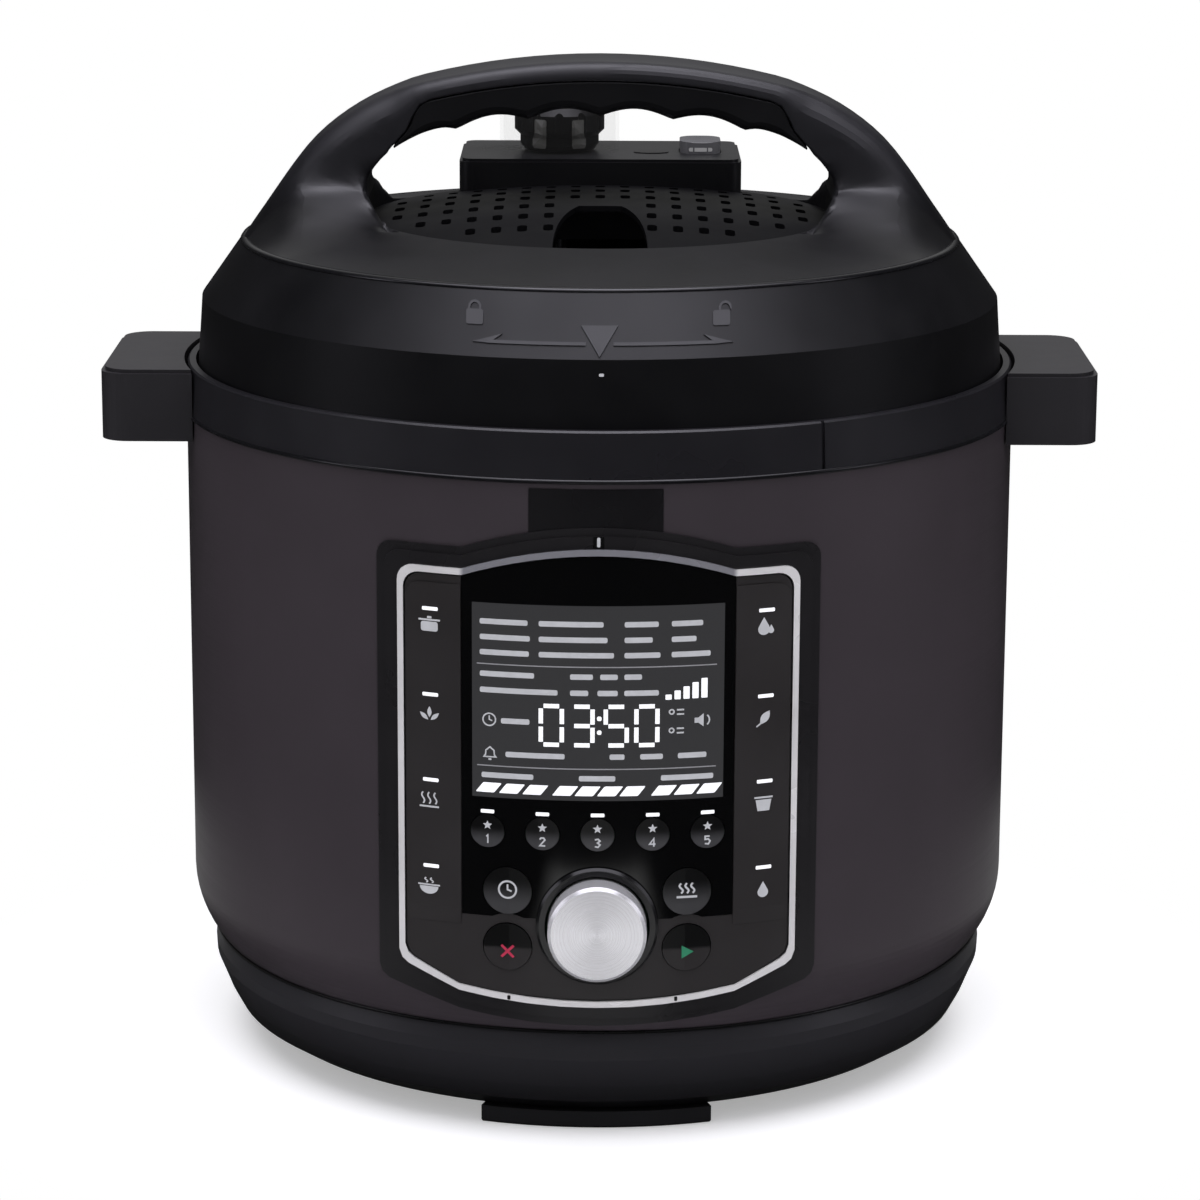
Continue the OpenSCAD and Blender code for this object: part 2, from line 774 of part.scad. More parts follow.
// The part of a panel outline that lies in a skin between two radii
module panel_skin(r_in, r_out) {
    intersection() {
        upright(-r_out - 5, -70) children();
        tube(r_out, r_in, 0, 260);
    }
}

module outline_band(d_out, d_in) {
    difference() {
        polygon(panel_outline(d_out));
        polygon(panel_outline(d_in));
    }
}

key_centres = concat(
    [for (i = [-2 : 2]) [i * preset_pitch, preset_z]],
    [[-round_key_x, upper_key_z], [round_key_x, upper_key_z]],
    [[-round_key_x, lower_key_z], [round_key_x, lower_key_z]],
    [for (side = [-1, 1], i = [3 : -1 : 0]) [side * program_x, program_z + i * program_pitch]]
);

// Flat outline of key number i, grown by `gap`
module key_outline(i, gap) {
    translate(key_centres[i]) {
        if (i < 5)
            circle(r = preset_r + gap);
        else if (i < 9)
            circle(r = round_key_r + gap);
        else
            rounded(program_key_w + 2 * gap, program_key_h + 2 * gap, 3);
    }
}

module key_holes(first, last) {
    for (i = [first : last])
        key_outline(i, 0.25);
}

// Half-width of key number i, and the place of its flat back
function key_half(i) = i < 5 ? preset_r : i < 9 ? round_key_r : program_key_w / 2;
function key_back_y(i) = key_min_t - sqrt(pow(panel_r, 2) - pow(abs(key_centres[i].x) + key_half(i), 2));

module key(i) {
    color(i == 7 ? [0.45, 0.07, 0.08] : i == 8 ? [0.05, 0.3, 0.16] : [0.16, 0.16, 0.165])
        intersection() {
            upright(-panel_r - 5, key_back_y(i)) key_outline(i, 0);
            cylinder(r = panel_r + (i < 9 ? key_proud : 0.2), h = 260);
        }
}

module panel_bezel() {
    color([0.13, 0.13, 0.135]) {
        panel_skin(shell_r + seat_gap, shell_r + 0.7) outline_band(-6.5, 2.2);
        panel_skin(shell_r + 0.6, shell_r + 1.4) outline_band(-4, 2.2);
        panel_skin(shell_r - 7, shell_r + 0.6) outline_band(0.5, 2.2);
        panel_skin(shell_r - 7, panel_back_r - seat_gap) outline_band(1, 6);
        // Bosses that carry the control board
        for (side = [-1, 1], z = [panel_low_z + 9.2, panel_side_z - 5.3])
            translate([side * 34, board_y - board_t - seat_gap, z])
                rotate([90, 0, 0])
                    cylinder(r = 3.2, h = shell_r - 8.5 + board_y - board_t);
    }
}

module panel_trim() {
    color([0.8, 0.8, 0.78])
        panel_skin(shell_r + 1.4 + seat_gap, shell_r + 2.5) outline_band(0, trim_w);
}

// Edge between the glossy middle and the matt surround
module gloss_area(gap) {
    difference() {
        translate([-gloss_w / 2 - gap, band_z - gap]) square([gloss_w + 2 * gap, panel_arch_z]);
        for (side = [-1, 1])
            translate([side * round_key_x, lower_key_z]) circle(r = bump_r - gap);
    }
}

module panel_surround() {
    color([0.2, 0.2, 0.2])
        panel_skin(panel_back_r, panel_r - 0.1)
            difference() {
                polygon(panel_outline(2.4));
                gloss_area(0.1);
                translate([0, dial_z]) circle(r = collar_r + seat_gap);
                key_holes(7, 16);
            }
}

module panel_face() {
    color([0.03, 0.03, 0.035])
        difference() {
            panel_skin(panel_back_r, panel_r)
                difference() {
                    intersection() {
                        polygon(panel_outline(2.4));
                        gloss_area(0);
                    }
                    translate([0, dial_z]) circle(r = collar_r + seat_gap);
                    key_holes(0, 6);
                    translate([0, display_z + display_h / 2])
                        square([display_w - 4, display_h - 4], center = true);
                }
            panel_skin(panel_r - 1.4, panel_r + 5)
                translate([0, display_z + display_h / 2])
                    square([display_w + 2 * seat_gap, display_h + 2 * seat_gap], center = true);
        }
}

module display_window() {
    color([0.24, 0.24, 0.25])
        panel_skin(panel_r - 1.4 + 0.05, panel_r)
            translate([0, display_z + display_h / 2])
                square([display_w, display_h], center = true);
}

display_back_y = board_y - board_t;
// The module's flat front lies just behind the curved panel at the window's edge
display_front_y = -sqrt(pow(panel_back_r, 2) - pow(display_w / 2, 2)) + seat_gap;

module display_module() {
    color([0.86, 0.86, 0.84])
        difference() {
            translate([-display_w / 2, display_front_y, display_z - 1])
                cube([display_w, display_back_y - display_front_y - seat_gap, display_h + 2]);
            for (x = [-1, 1], z = [0, 1])
                translate([x * (display_w / 2 - 4), display_front_y + 3, display_z + 2 + z * (display_h - 4)])
                    rotate([-90, 0, 0]) cylinder(r = 1.3, h = 20);
        }
}

module control_board() {
    color([0.1, 0.35, 0.2])
        difference() {
            upright(board_y - board_t, board_y) {
                polygon(panel_outline(6.5));
                // Middle reaches behind the bosses, where the bezel curves forward
                translate([0, (panel_low_z + panel_side_z) / 2])
                    square([92, panel_side_z - panel_low_z - 10], center = true);
            }
            translate([0, board_y + 1, dial_z]) rotate([90, 0, 0]) cylinder(r = 2, h = board_t + 2);
        }
}

// Switches between the board and the backs of the keys
module key_switches() {
    color([0.75, 0.75, 0.72])
        for (i = [0 : len(key_centres) - 1]) {
            front_y = board_y - board_t - seat_gap;
            translate([key_centres[i].x, front_y, key_centres[i].y])
                rotate([90, 0, 0]) {
                    translate([-3, -3, 0]) cube([6, 6, 1.2]);
                    cylinder(r = 1.7, h = front_y - key_back_y(i) - key_travel - moving_gap);
                }
        }
}

module dial_collar() {
    front_y = -panel_r - 1.6;
    color([0.1, 0.1, 0.105])
        translate([0, 0, dial_z])
            rotate([90, 0, 0])
                rotate_extrude()
                    polygon([
                        [dial_r + 1, panel_back_r - 4],
                        [collar_r, panel_back_r - 4],
                        [collar_r, -front_y - 0.8],
                        [collar_r - 0.8, -front_y],
                        [dial_r + 1, -front_y]
                    ]);
}

encoder_front = shell_r - 8.5;

module dial_encoder() {
    back = -board_y + board_t + seat_gap;
    color([0.55, 0.56, 0.57])
        translate([0, 0, dial_z])
            rotate([90, 0, 0])
                difference() {
                    union() {
                        translate([-7, -6.5, back]) cube([14, 13, encoder_front - 2.5 - back]);
                        translate([0, 0, back]) cylinder(r = 4.8, h = encoder_front - back);
                    }
                    translate([0, 0, back + 1]) cylinder(r = dial_shaft_r + shaft_gap, h = 20);
                }
}

module dial_shaft() {
    low = -board_y + board_t + seat_gap + 1 + dial_travel + 0.3;
    high = -dial_face_y - 2.4;
    color([0.6, 0.6, 0.62])
        translate([0, 0, dial_z])
            rotate([90, 0, 0])
                translate([0, 0, low]) cylinder(r = dial_shaft_r, h = high - low);
}

module dial_knob() {
    face = -dial_face_y;
    back = panel_r - 1.5;
    color([0.85, 0.85, 0.86])
        translate([0, 0, dial_z])
            rotate([90, 0, 0])
                rotate_extrude()
                    polygon([
                        [0, face - 2],
                        [dial_shaft_r + shaft_gap, face - 2],
                        [dial_shaft_r + shaft_gap, back],
                        [dial_shaft_r + 2.5, back],
                        [dial_shaft_r + 2.5, face - 2],
                        [dial_r - 1.8, face - 2],
                        [dial_r - 1.8, back],
                        [dial_r, back],
                        [dial_r, face - 1],
                        [dial_r - 1, face],
                        [0, face]
                    ]);
}

// ---------------------------------------------------------------- condensation collector

// Plan of the collector, seen from above, drawn in by `d`
module cup_plan(d) {
    half = cup_w / 2 - d;
    back = cup_back_y - d;
    corner = 6;
    difference() {
        polygon(concat(
            [[-half, shell_r - 20], [half, shell_r - 20]],
            arc(half - corner, back - corner, corner, 0, 90, 8),
            arc(-half + corner, back - corner, corner, 90, 180, 8)
        ));
        circle(r = cup_front_r + d);
    }
}

module condensation_collector() {
    color([0.75, 0.8, 0.85, 0.5])
        difference() {
            union() {
                translate([0, 0, cup_top_z - cup_h]) linear_extrude(cup_h) cup_plan(0);
                // Flanges that hang on the rails
                translate([-cup_w / 2 - 3, shell_r - 8, rail_z + 0.3])
                    cube([cup_w + 6, cup_back_y - 7 - shell_r + 8, 1.6]);
            }
            translate([0, 0, cup_top_z - cup_h + cup_wall]) linear_extrude(cup_h) cup_plan(cup_wall);
            cylinder(r = cup_front_r, h = ring_top_z);
        }
}

// ---------------------------------------------------------------- lid

grille_floor = 1.8;

module lid_outer_body() {
    rotate_extrude()
        polygon([
            [0, lid_lug_z + 2],
            [skirt_r, lid_lug_z + 4],
            [crease_r, crease_z],
            [shoulder_r + 0.9, shoulder_z - 1.1],
            [shoulder_r - 1, shoulder_z],
            [grille_r, grille_rim_z],
            [0, grille_rim_z]
        ]);
    mound(0);
}

// Rounded mounds, left and right, that carry the handle's roots
module mound(d) {
    flank_r = shoulder_r - 1 - d * 1.3;
    flank_top_z = mound_top_z + 10;
    intersection() {
        translate([0, 0, mound_top_z - mound_r])
            rotate([0, 90, 0]) cylinder(r = mound_r - d, h = 400, center = true);
        rotate_extrude()
            polygon([
                [grille_r + 0.5 + d, crease_z],
                [flank_r, crease_z],
                [flank_r, shoulder_z],
                [flank_r - 0.9 * (flank_top_z - shoulder_z), flank_top_z],
                [grille_r + 0.5 + d, flank_top_z]
            ]);
    }
}

module lid_inner_void() {
    w = plastic_wall;
    rotate_extrude()
        polygon([
            [0, lid_lug_z - 1],
            [skirt_r - w, lid_lug_z - 1],
            [crease_r - w, crease_z - 1],
            [shoulder_r - w, shoulder_z - w - 0.6],
            [grille_r - 4, grille_rim_z - grille_floor - w],
            [0, grille_rim_z - grille_floor - w]
        ]);
    intersection() {
        mound(w);
        translate([0, 0, crease_z]) cylinder(r = 200, h = 100);
    }
}

// Outer line of the arch at step t from the crown (0) over the shoulder (1) to the root (2)
function arch_outer(t) =
    t <= 1
        ? let (a = crown_slope * t)
            [arch_crown_r * sin(a), arch_top_z - arch_crown_r * (1 - cos(a))]
        : t <= 2
            ? let (a = crown_slope + (cone_slope - crown_slope) * (t - 1))
                [arch_crown_x + arch_shoulder_r * (sin(a) - sin(crown_slope)),
                 crown_end_z - arch_shoulder_r * (cos(crown_slope) - cos(a))]
            : arch_outer(2) + [1 / cone_rise - 0.03, -1] * 22 * (t - 2);

// Underside of the arch at the same steps, without its scallops
function arch_inner(t) =
    t <= 1
        ? let (a = grip_slope * t)
            [grip_crown_r * sin(a), grip_low_z - grip_crown_r * (1 - cos(a))]
        : t <= 1.6
            ? let (a = grip_slope + (grip_knee - grip_slope) * (t - 1) / 0.6)
                arch_inner(1) + grip_shoulder_r * [sin(a) - sin(grip_slope), cos(a) - cos(grip_slope)]
            : t <= 2
                ? let (a = grip_knee + (90 - grip_knee) * (t - 1.6) / 0.4)
                    arch_inner(1.6) + grip_corner_r * [sin(a) - sin(grip_knee), cos(a) - cos(grip_knee)]
                : arch_inner(2) + [3.2, -1.5] * (t - 2);

// Share of the arch's height that the lower grip takes at step t
function grip_part(t) =
    let (u = min(1, max(0, (t - 1.02) / 0.4)))
    grip_share * (1 - u * u * (3 - 2 * u));

function half_depth(t) =
    let (u = min(1, max(0, t - 1)))
    arch_half_d + (root_half_d - arch_half_d) * u * u;

// One section of the handle between two points, rounded at its outer and its inner edges
function section(low, high, half, r_low, r_high, side) =
    let (
        up = high - low,
        h = norm(up),
        n = up / h,
        rh = min(r_high, h * 0.8, half),
        rl = min(r_low, h * 0.45),
        outline = concat(
            arc(-half + rl, rl, rl, 270, 180, 3),
            arc(-half + rh, h - rh, rh, 180, 90, 6),
            arc(half - rh, h - rh, rh, 90, 0, 6),
            arc(half - rl, rl, rl, 0, -90, 3)
        )
    )
    [for (p = outline) [side * (low.x + n.x * p.y), p.x, low.y + n.y * p.y]];

arch_steps = concat([for (i = [0 : 7]) i / 8], [for (i = [0 : 12]) 1 + i / 12], [2.5, 3]);

module handle_arch() {
    last = len(arch_steps) - 1;
    path = concat(
        [for (i = [last : -1 : 1]) [arch_steps[i], -1]],
        [for (i = [0 : last]) [arch_steps[i], 1]]
    );
    loft([for (q = path)
        let (
            t = q[0],
            low = arch_inner(t) + (arch_outer(t) - arch_inner(t)) * grip_part(t)
        )
        section(low, arch_outer(t), half_depth(t), 0.6 + 2.4 * max(0, t - 1.2), 9, q[1])]);
}

module lid_cover() {
    color([0.14, 0.14, 0.145])
        difference() {
            union() {
                lid_outer_body();
                handle_arch();
            }
            lid_inner_void();
            // Seat of the grille
            translate([0, 0, grille_rim_z - grille_floor]) cylinder(r = grille_r + seat_gap, h = 6);
            translate([0, 0, grille_rim_z - 20]) cylinder(r = grille_r - 3, h = 30);
            translate([-housing_w / 2 - seat_gap, housing_front_y - seat_gap, shoulder_z - 20])
                cube([housing_w + 2 * seat_gap, housing_d + 2 * seat_gap, 60]);
        }
}

// Lower half of the handle, with scallops for the fingers
module handle_grip() {
    grip_end = 1.35;
    steps = [for (i = [0 : 40]) grip_end * i / 40];
    last = len(steps) - 1;
    path = concat([for (i = [last : -1 : 1]) [steps[i], -1]], [for (i = [0 : last]) [steps[i], 1]]);
    color([0.11, 0.11, 0.115])
        loft([for (q = path)
            let (
                t = q[0],
                base = arch_inner(t),
                top = base + (arch_outer(t) - base) * grip_part(t),
                fade = 1 - max(0, t - 1) / (grip_end - 1),
                dent = scallop_depth * abs(sin(180 * base.x / scallop_pitch)) * fade,
                low = base + [0, dent]
            )
            section(low, top - grip_seam * (top - low) / norm(top - low),
                    half_depth(t) - 0.5, 3, 0.5, q[1])]);
}

well_w = 30;
well_back_y = 19.5;
well_mid_y = grille_r - 1;
// Length of the well's rounded end, if it came to a point
well_end = 62.8;

// Plan of the well round the float valve, open to the front
module well_plan() {
    back_angle = asin((well_mid_y - well_back_y) / well_end);
    side = [for (i = [0 : 10])
        let (a = back_angle * i / 10)
        [well_w / 2 * cos(a), well_end * sin(a) - well_mid_y]];
    polygon(mirrored(concat([[well_w / 2, -grille_r - 2]], side)));
}

// Outline of a vent slot
module vent_slot() {
    straight = vent_len - 2 * vent_r;
    square([2 * vent_r, straight], center = true);
    for (side = [-1, 1])
        translate([0, side * straight / 2]) circle(r = vent_r, $fn = 16);
}

module vent_grille() {
    cols = floor((grille_r - 6) / vent_pitch_x);
    rows = floor((grille_r - vent_len / 2 - 3) / vent_pitch_y);
    color([0.15, 0.15, 0.155])
        difference() {
            intersection() {
                translate([0, 0, grille_rim_z + grille_rise - grille_dome_r])
                    difference() {
                        sphere(r = grille_dome_r);
                        sphere(r = grille_dome_r - grille_floor);
                    }
                translate([0, 0, grille_rim_z - grille_floor])
                    cylinder(r = grille_r, h = grille_rise + grille_floor + 1);
            }
            for (i = [-cols : cols], j = [-rows : rows])
                let (x = i * vent_pitch_x, y = j * vent_pitch_y)
                    if (norm([x, abs(y) + vent_len / 2]) < grille_r - 2.5
                        && y + vent_len / 2 < housing_front_y - 2
                        && (abs(x) > well_w / 2 - 2 + vent_r || y - vent_len / 2 > -well_back_y + 2))
                        translate([x, y, grille_rim_z - 10]) linear_extrude(30) vent_slot();
            translate([0, 0, grille_rim_z - 10]) linear_extrude(30) well_plan();
            translate([-housing_w / 2 - 2 * seat_gap, housing_front_y - 2 * seat_gap, shoulder_z - 20])
                cube([housing_w + 4 * seat_gap, housing_d, 60]);
        }
}

// ---------------------------------------------------------------- valve housing and valves

module housing_plan(d) {
    translate([0, housing_front_y + housing_d / 2])
        rounded(housing_w - 2 * d, housing_d - 2 * d, 5 - min(d, 3));
}

module valve_housing() {
    w = 2.2;
    color([0.12, 0.12, 0.125])
        difference() {
            union() {
                translate([0, 0, housing_low_z])
                    linear_extrude(housing_top_z - 1 - housing_low_z) housing_plan(0);
                translate([0, 0, housing_top_z - 1.1]) linear_extrude(1.1) housing_plan(1);
            }
            translate([0, 0, housing_low_z + w])
                linear_extrude(housing_top_z - 2 * w - housing_low_z) housing_plan(w);
            // Holes for the valve's stem, the button and the pipe
            translate([valve_x, valve_y, housing_top_z - w - 1]) cylinder(r = pipe_r + 3, h = 9);
            translate([valve_x, valve_y, housing_low_z - 1]) cylinder(r = pipe_r + seat_gap, h = w + 2);
            translate([button_x, button_y, housing_top_z - w - 1])
                linear_extrude(9) rounded(button_w + 2 * moving_gap, button_d + 2 * moving_gap, 6);
        }
    // Ears that carry the lever's pin
    color([0.12, 0.12, 0.125])
        for (side = [-1, 1])
            translate([lever_pivot_x, lever_y + side * 7, 0])
                difference() {
                    translate([-3, -1.5, housing_low_z + w - 0.2])
                        cube([6, 3, lever_z + 3 - housing_low_z - w + 0.2]);
                    translate([0, 3, lever_z]) rotate([90, 0, 0]) cylinder(r = 1.5 + shaft_gap, h = 6);
                }
}

module valve_shield() {
    color([0.85, 0.9, 0.92, 0.35])
        translate([valve_x, valve_y, housing_top_z + seat_gap])
            rotate_extrude()
                polygon([
                    [shield_r, 0],
                    [shield_r + 1.3, 0],
                    [shield_r + 1.3, shield_h - 0.5],
                    [shield_r + 0.8, shield_h],
                    [shield_r, shield_h]
                ]);
}

// Weighted valve whose cap sits over the pipe's mouth
module steam_valve() {
    low = housing_top_z + 0.6;
    top = low + shield_h - 3;
    color([0.08, 0.08, 0.085])
        translate([valve_x, valve_y, 0])
            difference() {
                union() {
                    rotate_extrude()
                        polygon([
                            [0, low],
                            [steam_knob_r - 3.5, low],
                            [steam_knob_r - 2, low + 2],
                            [steam_knob_r - 2, low + 5],
                            [steam_knob_r, low + 7],
                            [steam_knob_r, top - 2.5],
                            [steam_knob_r - 2, top],
                            [0, top]
                        ]);
                    // Ring that the lever's fork lifts
                    tube(6.6, pipe_r + moving_gap, lever_z + 2.2, low + 1);
                }
                translate([0, 0, low - 0.01]) cylinder(r = pipe_r + moving_gap, h = 9);
                for (turn = [0 : 30 : 330])
                    rotate([0, 0, turn])
                        translate([steam_knob_r + 0.9, 0, low + 6]) cylinder(r = 1.8, h = 20);
            }
}

module steam_pipe() {
    low = lid_sheet_z - 6;
    top = housing_top_z + 7.6;
    color([0.78, 0.78, 0.79])
        translate([valve_x, valve_y, 0])
            difference() {
                union() {
                    tube(pipe_r, 1.6, low, top);
                    // Flange under the inner lid, with the slotted cap that keeps food out
                    tube(13, 11.8, low - 6, lid_sheet_z - seat_gap);
                    translate([0, 0, low - 7]) cylinder(r = 13, h = 1.5);
                    translate([0, 0, low]) tube(12, pipe_r - 0.5, 0, 1.2);
                }
                for (turn = [0 : 30 : 330])
                    rotate([0, 0, turn]) translate([9, -1, low - 4.5]) cube([8, 2, 7]);
            }
}

module release_button() {
    top = housing_top_z + button_travel;
    color([0.62, 0.63, 0.64])
        translate([button_x, button_y, 0]) {
            difference() {
                translate([0, 0, housing_top_z - 4]) linear_extrude(top - housing_top_z + 4)
                    rounded(button_w, button_d, 5.7);
                // Sloped front half of the top
                translate([0, -button_d / 2, top])
                    rotate([12, 0, 0]) translate([-20, -20, -0.2]) cube([40, 30, 8]);
            }
            translate([0, 0, lever_z + 2.6]) cylinder(r = 2.4, h = housing_top_z - 3.5 - lever_z - 2.6);
        }
}

module button_spring() {
    low = housing_low_z + 2.2 + 0.1;
    color([0.7, 0.7, 0.72])
        translate([button_x, button_y + 6.9, low])
            coil(2.6, 0.45, housing_top_z - 4 - low - 0.2, 6);
}

// See-saw lever: the button pushes one end down and the fork lifts the valve
module release_lever() {
    reach = button_x - lever_pivot_x;
    fork = lever_pivot_x - valve_x;
    color([0.7, 0.68, 0.62])
        translate([lever_pivot_x, lever_y, lever_z])
            difference() {
                union() {
                    rotate([90, 0, 0]) cylinder(r = 3, h = 10.6, center = true);
                    rotate([90, 0, 0]) cylinder(r = 1.5, h = 17, center = true);
                    translate([0, -2.5, -1]) cube([reach + 3, 5, 2.4]);
                    translate([-fork - 8, -8, -1]) cube([fork + 1, 16, 2]);
                    translate([-8, -2.5, -1]) cube([8, 5, 2]);
                }
                translate([-fork, 0, -5]) cylinder(r = 5.4, h = 10);
                translate([-fork - 20, -5.4, -5]) cube([20, 10.8, 10]);
            }
}

// Float valve: a pin with a silicone seal that pressure lifts
module float_valve() {
    low = lid_sheet_z - 2 - float_lift;
    color([0.7, 0.7, 0.72])
        translate([0, -float_y, 0])
            rotate_extrude()
                polygon([
                    [0, low],
                    [5.4, low],
                    [5.4, low + 1.2],
                    [2.8, low + 1.2],
                    [2.8, grille_rim_z - 7],
                    [3.6, grille_rim_z - 7],
                    [3.6, grille_rim_z - 5.6],
                    [3.1, grille_rim_z - 5],
                    [0, grille_rim_z - 5]
                ]);
}

// ---------------------------------------------------------------- inner lid and seal

seal_in_r = pot_r - 4;
seal_out_r = pot_out_r + 7;

module inner_lid() {
    w = 1.4;
    color([0.76, 0.76, 0.77])
        difference() {
            union() {
                translate([0, 0, lid_sheet_z]) cylinder(r = rim_in_r + 0.5, h = w);
                tube(rim_in_r + rim_t, rim_in_r, lid_lug_z, lid_sheet_z + w);
                for (i = [0 : lug_count - 1])
                    ring_piece(rim_in_r + 0.5, lid_lug_in_r, lid_lug_z, lid_lug_z + 2.4,
                               -90 + i * 360 / lug_count, lug_angle);
                // Posts that the lid cover is screwed to
                for (turn = [20, 160, 200, 340])
                    rotate([0, 0, turn])
                        translate([pot_r - 10, 0, lid_sheet_z])
                            cylinder(r = 4, h = shoulder_z - 2 - lid_sheet_z);
                // Float valve's guide
                translate([0, -float_y, lid_sheet_z]) cylinder(r = 6, h = 22);
                // Hooks for the seal's wire rack
                for (i = [0 : 5])
                    rotate([0, 0, i * 60 + 30])
                        translate([seal_in_r - 6.6, -3, lid_sheet_z - 5.4]) cube([3.6, 6, 5.6]);
            }
            translate([0, -float_y, lid_sheet_z - 10]) cylinder(r = 2.8 + moving_gap, h = 60);
            translate([valve_x, valve_y, lid_sheet_z - 10]) cylinder(r = pipe_r + seat_gap, h = 60);
        }
}

module sealing_ring() {
    color([0.85, 0.85, 0.84])
        rotate_extrude()
            polygon([
                [seal_in_r, pot_rim_z + moving_gap],
                [seal_out_r, pot_rim_z + moving_gap],
                [seal_out_r, lid_sheet_z - moving_gap],
                [seal_in_r + 3, lid_sheet_z - moving_gap],
                [seal_in_r + 3, lid_sheet_z - 2.2],
                [seal_in_r, lid_sheet_z - 2.2]
            ]);
}

// Wire ring that holds the seal
module ring_rack() {
    color([0.72, 0.72, 0.73])
        translate([0, 0, lid_sheet_z - 4])
            rotate_extrude()
                translate([seal_in_r - 1.6, 0]) circle(r = 1.2);
}

// ---------------------------------------------------------------- nodes

base_housing();
bottom_cover();
rubber_feet();
housing_screws();
outer_shell();
upper_ring();
side_handle_left();
side_handle_right();
outer_pot();
inner_pot();
heating_plate();
temperature_sensor();
sensor_spring();
thermal_fuse();
power_board();
power_inlet();
control_board();
key_switches();
panel_bezel();
panel_trim();
panel_surround();
panel_face();
display_window();
display_module();
dial_collar();
dial_encoder();
dial_shaft();
dial_knob();
key(0);  // key_preset_1
key(1);  // key_preset_2
key(2);  // key_preset_3
key(3);  // key_preset_4
key(4);  // key_preset_5
key(5);  // key_delay
key(6);  // key_warm
key(7);  // key_cancel
key(8);  // key_start
key(9);  // key_program_1
key(10);  // key_program_2
key(11);  // key_program_3
key(12);  // key_program_4
key(13);  // key_program_5
key(14);  // key_program_6
key(15);  // key_program_7
key(16);  // key_program_8
condensation_collector();
lid_cover();
handle_grip();
vent_grille();
valve_housing();
valve_shield();
steam_valve();
release_button();
button_spring();
release_lever();
steam_pipe();
float_valve();
inner_lid();
sealing_ring();
ring_rack();
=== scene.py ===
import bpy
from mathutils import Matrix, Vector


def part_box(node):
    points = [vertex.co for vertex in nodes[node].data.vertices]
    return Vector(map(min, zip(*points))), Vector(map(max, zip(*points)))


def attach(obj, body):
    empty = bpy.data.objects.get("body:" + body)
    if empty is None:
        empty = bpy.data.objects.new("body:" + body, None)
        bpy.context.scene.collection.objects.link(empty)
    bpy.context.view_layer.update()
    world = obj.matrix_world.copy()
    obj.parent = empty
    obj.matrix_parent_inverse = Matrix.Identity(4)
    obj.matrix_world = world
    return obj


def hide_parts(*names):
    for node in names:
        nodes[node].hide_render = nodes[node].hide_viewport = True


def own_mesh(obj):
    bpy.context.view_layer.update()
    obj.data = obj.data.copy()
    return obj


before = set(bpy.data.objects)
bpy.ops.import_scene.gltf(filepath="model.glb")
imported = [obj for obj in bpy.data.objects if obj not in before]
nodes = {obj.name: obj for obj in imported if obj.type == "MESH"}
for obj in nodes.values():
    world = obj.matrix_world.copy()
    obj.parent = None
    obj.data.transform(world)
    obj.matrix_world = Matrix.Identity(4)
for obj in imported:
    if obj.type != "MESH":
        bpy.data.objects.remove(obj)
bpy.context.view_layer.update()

from math import cos, hypot, pi, radians, sin, sqrt

import bmesh
import bpy
import numpy as np
from mathutils import Euler, Matrix, Vector
from mathutils.bvhtree import BVHTree
from mathutils.geometry import delaunay_2d_cdt

# Lengths are metres in the CAD frame: +Z up, -Y front. MM turns millimetres into metres.
MM = 0.001


def add_object(name, data):
    thing = bpy.data.objects.new(name, data)
    bpy.context.scene.collection.objects.link(thing)
    return thing


# ---- camera

CAMERA_PLACE = (0.0, -1.35, 0.467)
CAMERA_PITCH = radians(13.41)   # downwards
CAMERA_ROLL = radians(0.25)
FRAME_PIXELS = 1200
FOCAL_SHARE = 4094 / FRAME_PIXELS       # focal length over the frame's width
CENTRE_SHIFT = 1.5 / FRAME_PIXELS
SENSOR_WIDTH = 36


def add_camera():
    data = bpy.data.cameras.new("camera")
    data.sensor_width = SENSOR_WIDTH
    data.lens = SENSOR_WIDTH * FOCAL_SHARE
    data.shift_x = CENTRE_SHIFT
    data.clip_start = 0.05
    data.clip_end = 30
    camera = add_object("camera", data)
    camera.location = CAMERA_PLACE
    turn = Euler((pi / 2 - CAMERA_PITCH, 0, 0)).to_matrix() @ Matrix.Rotation(CAMERA_ROLL, 3, "Z")
    camera.rotation_euler = turn.to_euler()
    bpy.context.scene.camera = camera


# ---- shader nodes

def put(tree, socket, value):
    """Gives a socket the value of another socket, a number, or three numbers."""
    if hasattr(value, "links"):
        tree.links.new(value, socket)
    else:
        socket.default_value = (*value, 1) if socket.type == "RGBA" else value


def add_node(tree, kind, *values, **named):
    """A new node with values on its inputs, by place or by name with _ for a space."""
    node = tree.nodes.new("ShaderNode" + kind)
    for i, value in enumerate(values):
        put(tree, node.inputs[i], value)
    for name, value in named.items():
        put(tree, node.inputs[name.replace("_", " ")], value)
    return node


def math_node(tree, operation, *values):
    node = add_node(tree, "Math", *values)
    node.operation = operation
    return node.outputs[0]


def vector_node(tree, operation, *values):
    node = add_node(tree, "VectorMath", *values)
    node.operation = operation
    return node.outputs["Value" if operation == "LENGTH" else "Vector"]


def times(tree, *values):
    """The product of sockets and numbers."""
    product = values[0]
    for value in values[1:]:
        product = math_node(tree, "MULTIPLY", product, value)
    return product


def ranged(tree, value, low, high, start=0.3, end=0.7, kind="LINEAR"):
    """The value, from start to end, turned into low to high."""
    node = add_node(tree, "MapRange", Value=value, From_Min=start, From_Max=end, To_Min=low, To_Max=high)
    node.interpolation_type = kind
    return node.outputs["Result"]


def smooth(tree, value, start, end, low=0.0, high=1.0):
    return ranged(tree, value, low, high, start, end, "SMOOTHSTEP")


def axes_of(tree, vector):
    """The X, Y and Z sockets of a vector."""
    return add_node(tree, "SeparateXYZ", vector).outputs


def coordinates(tree, kind):
    return add_node(tree, "TexCoord").outputs[kind]


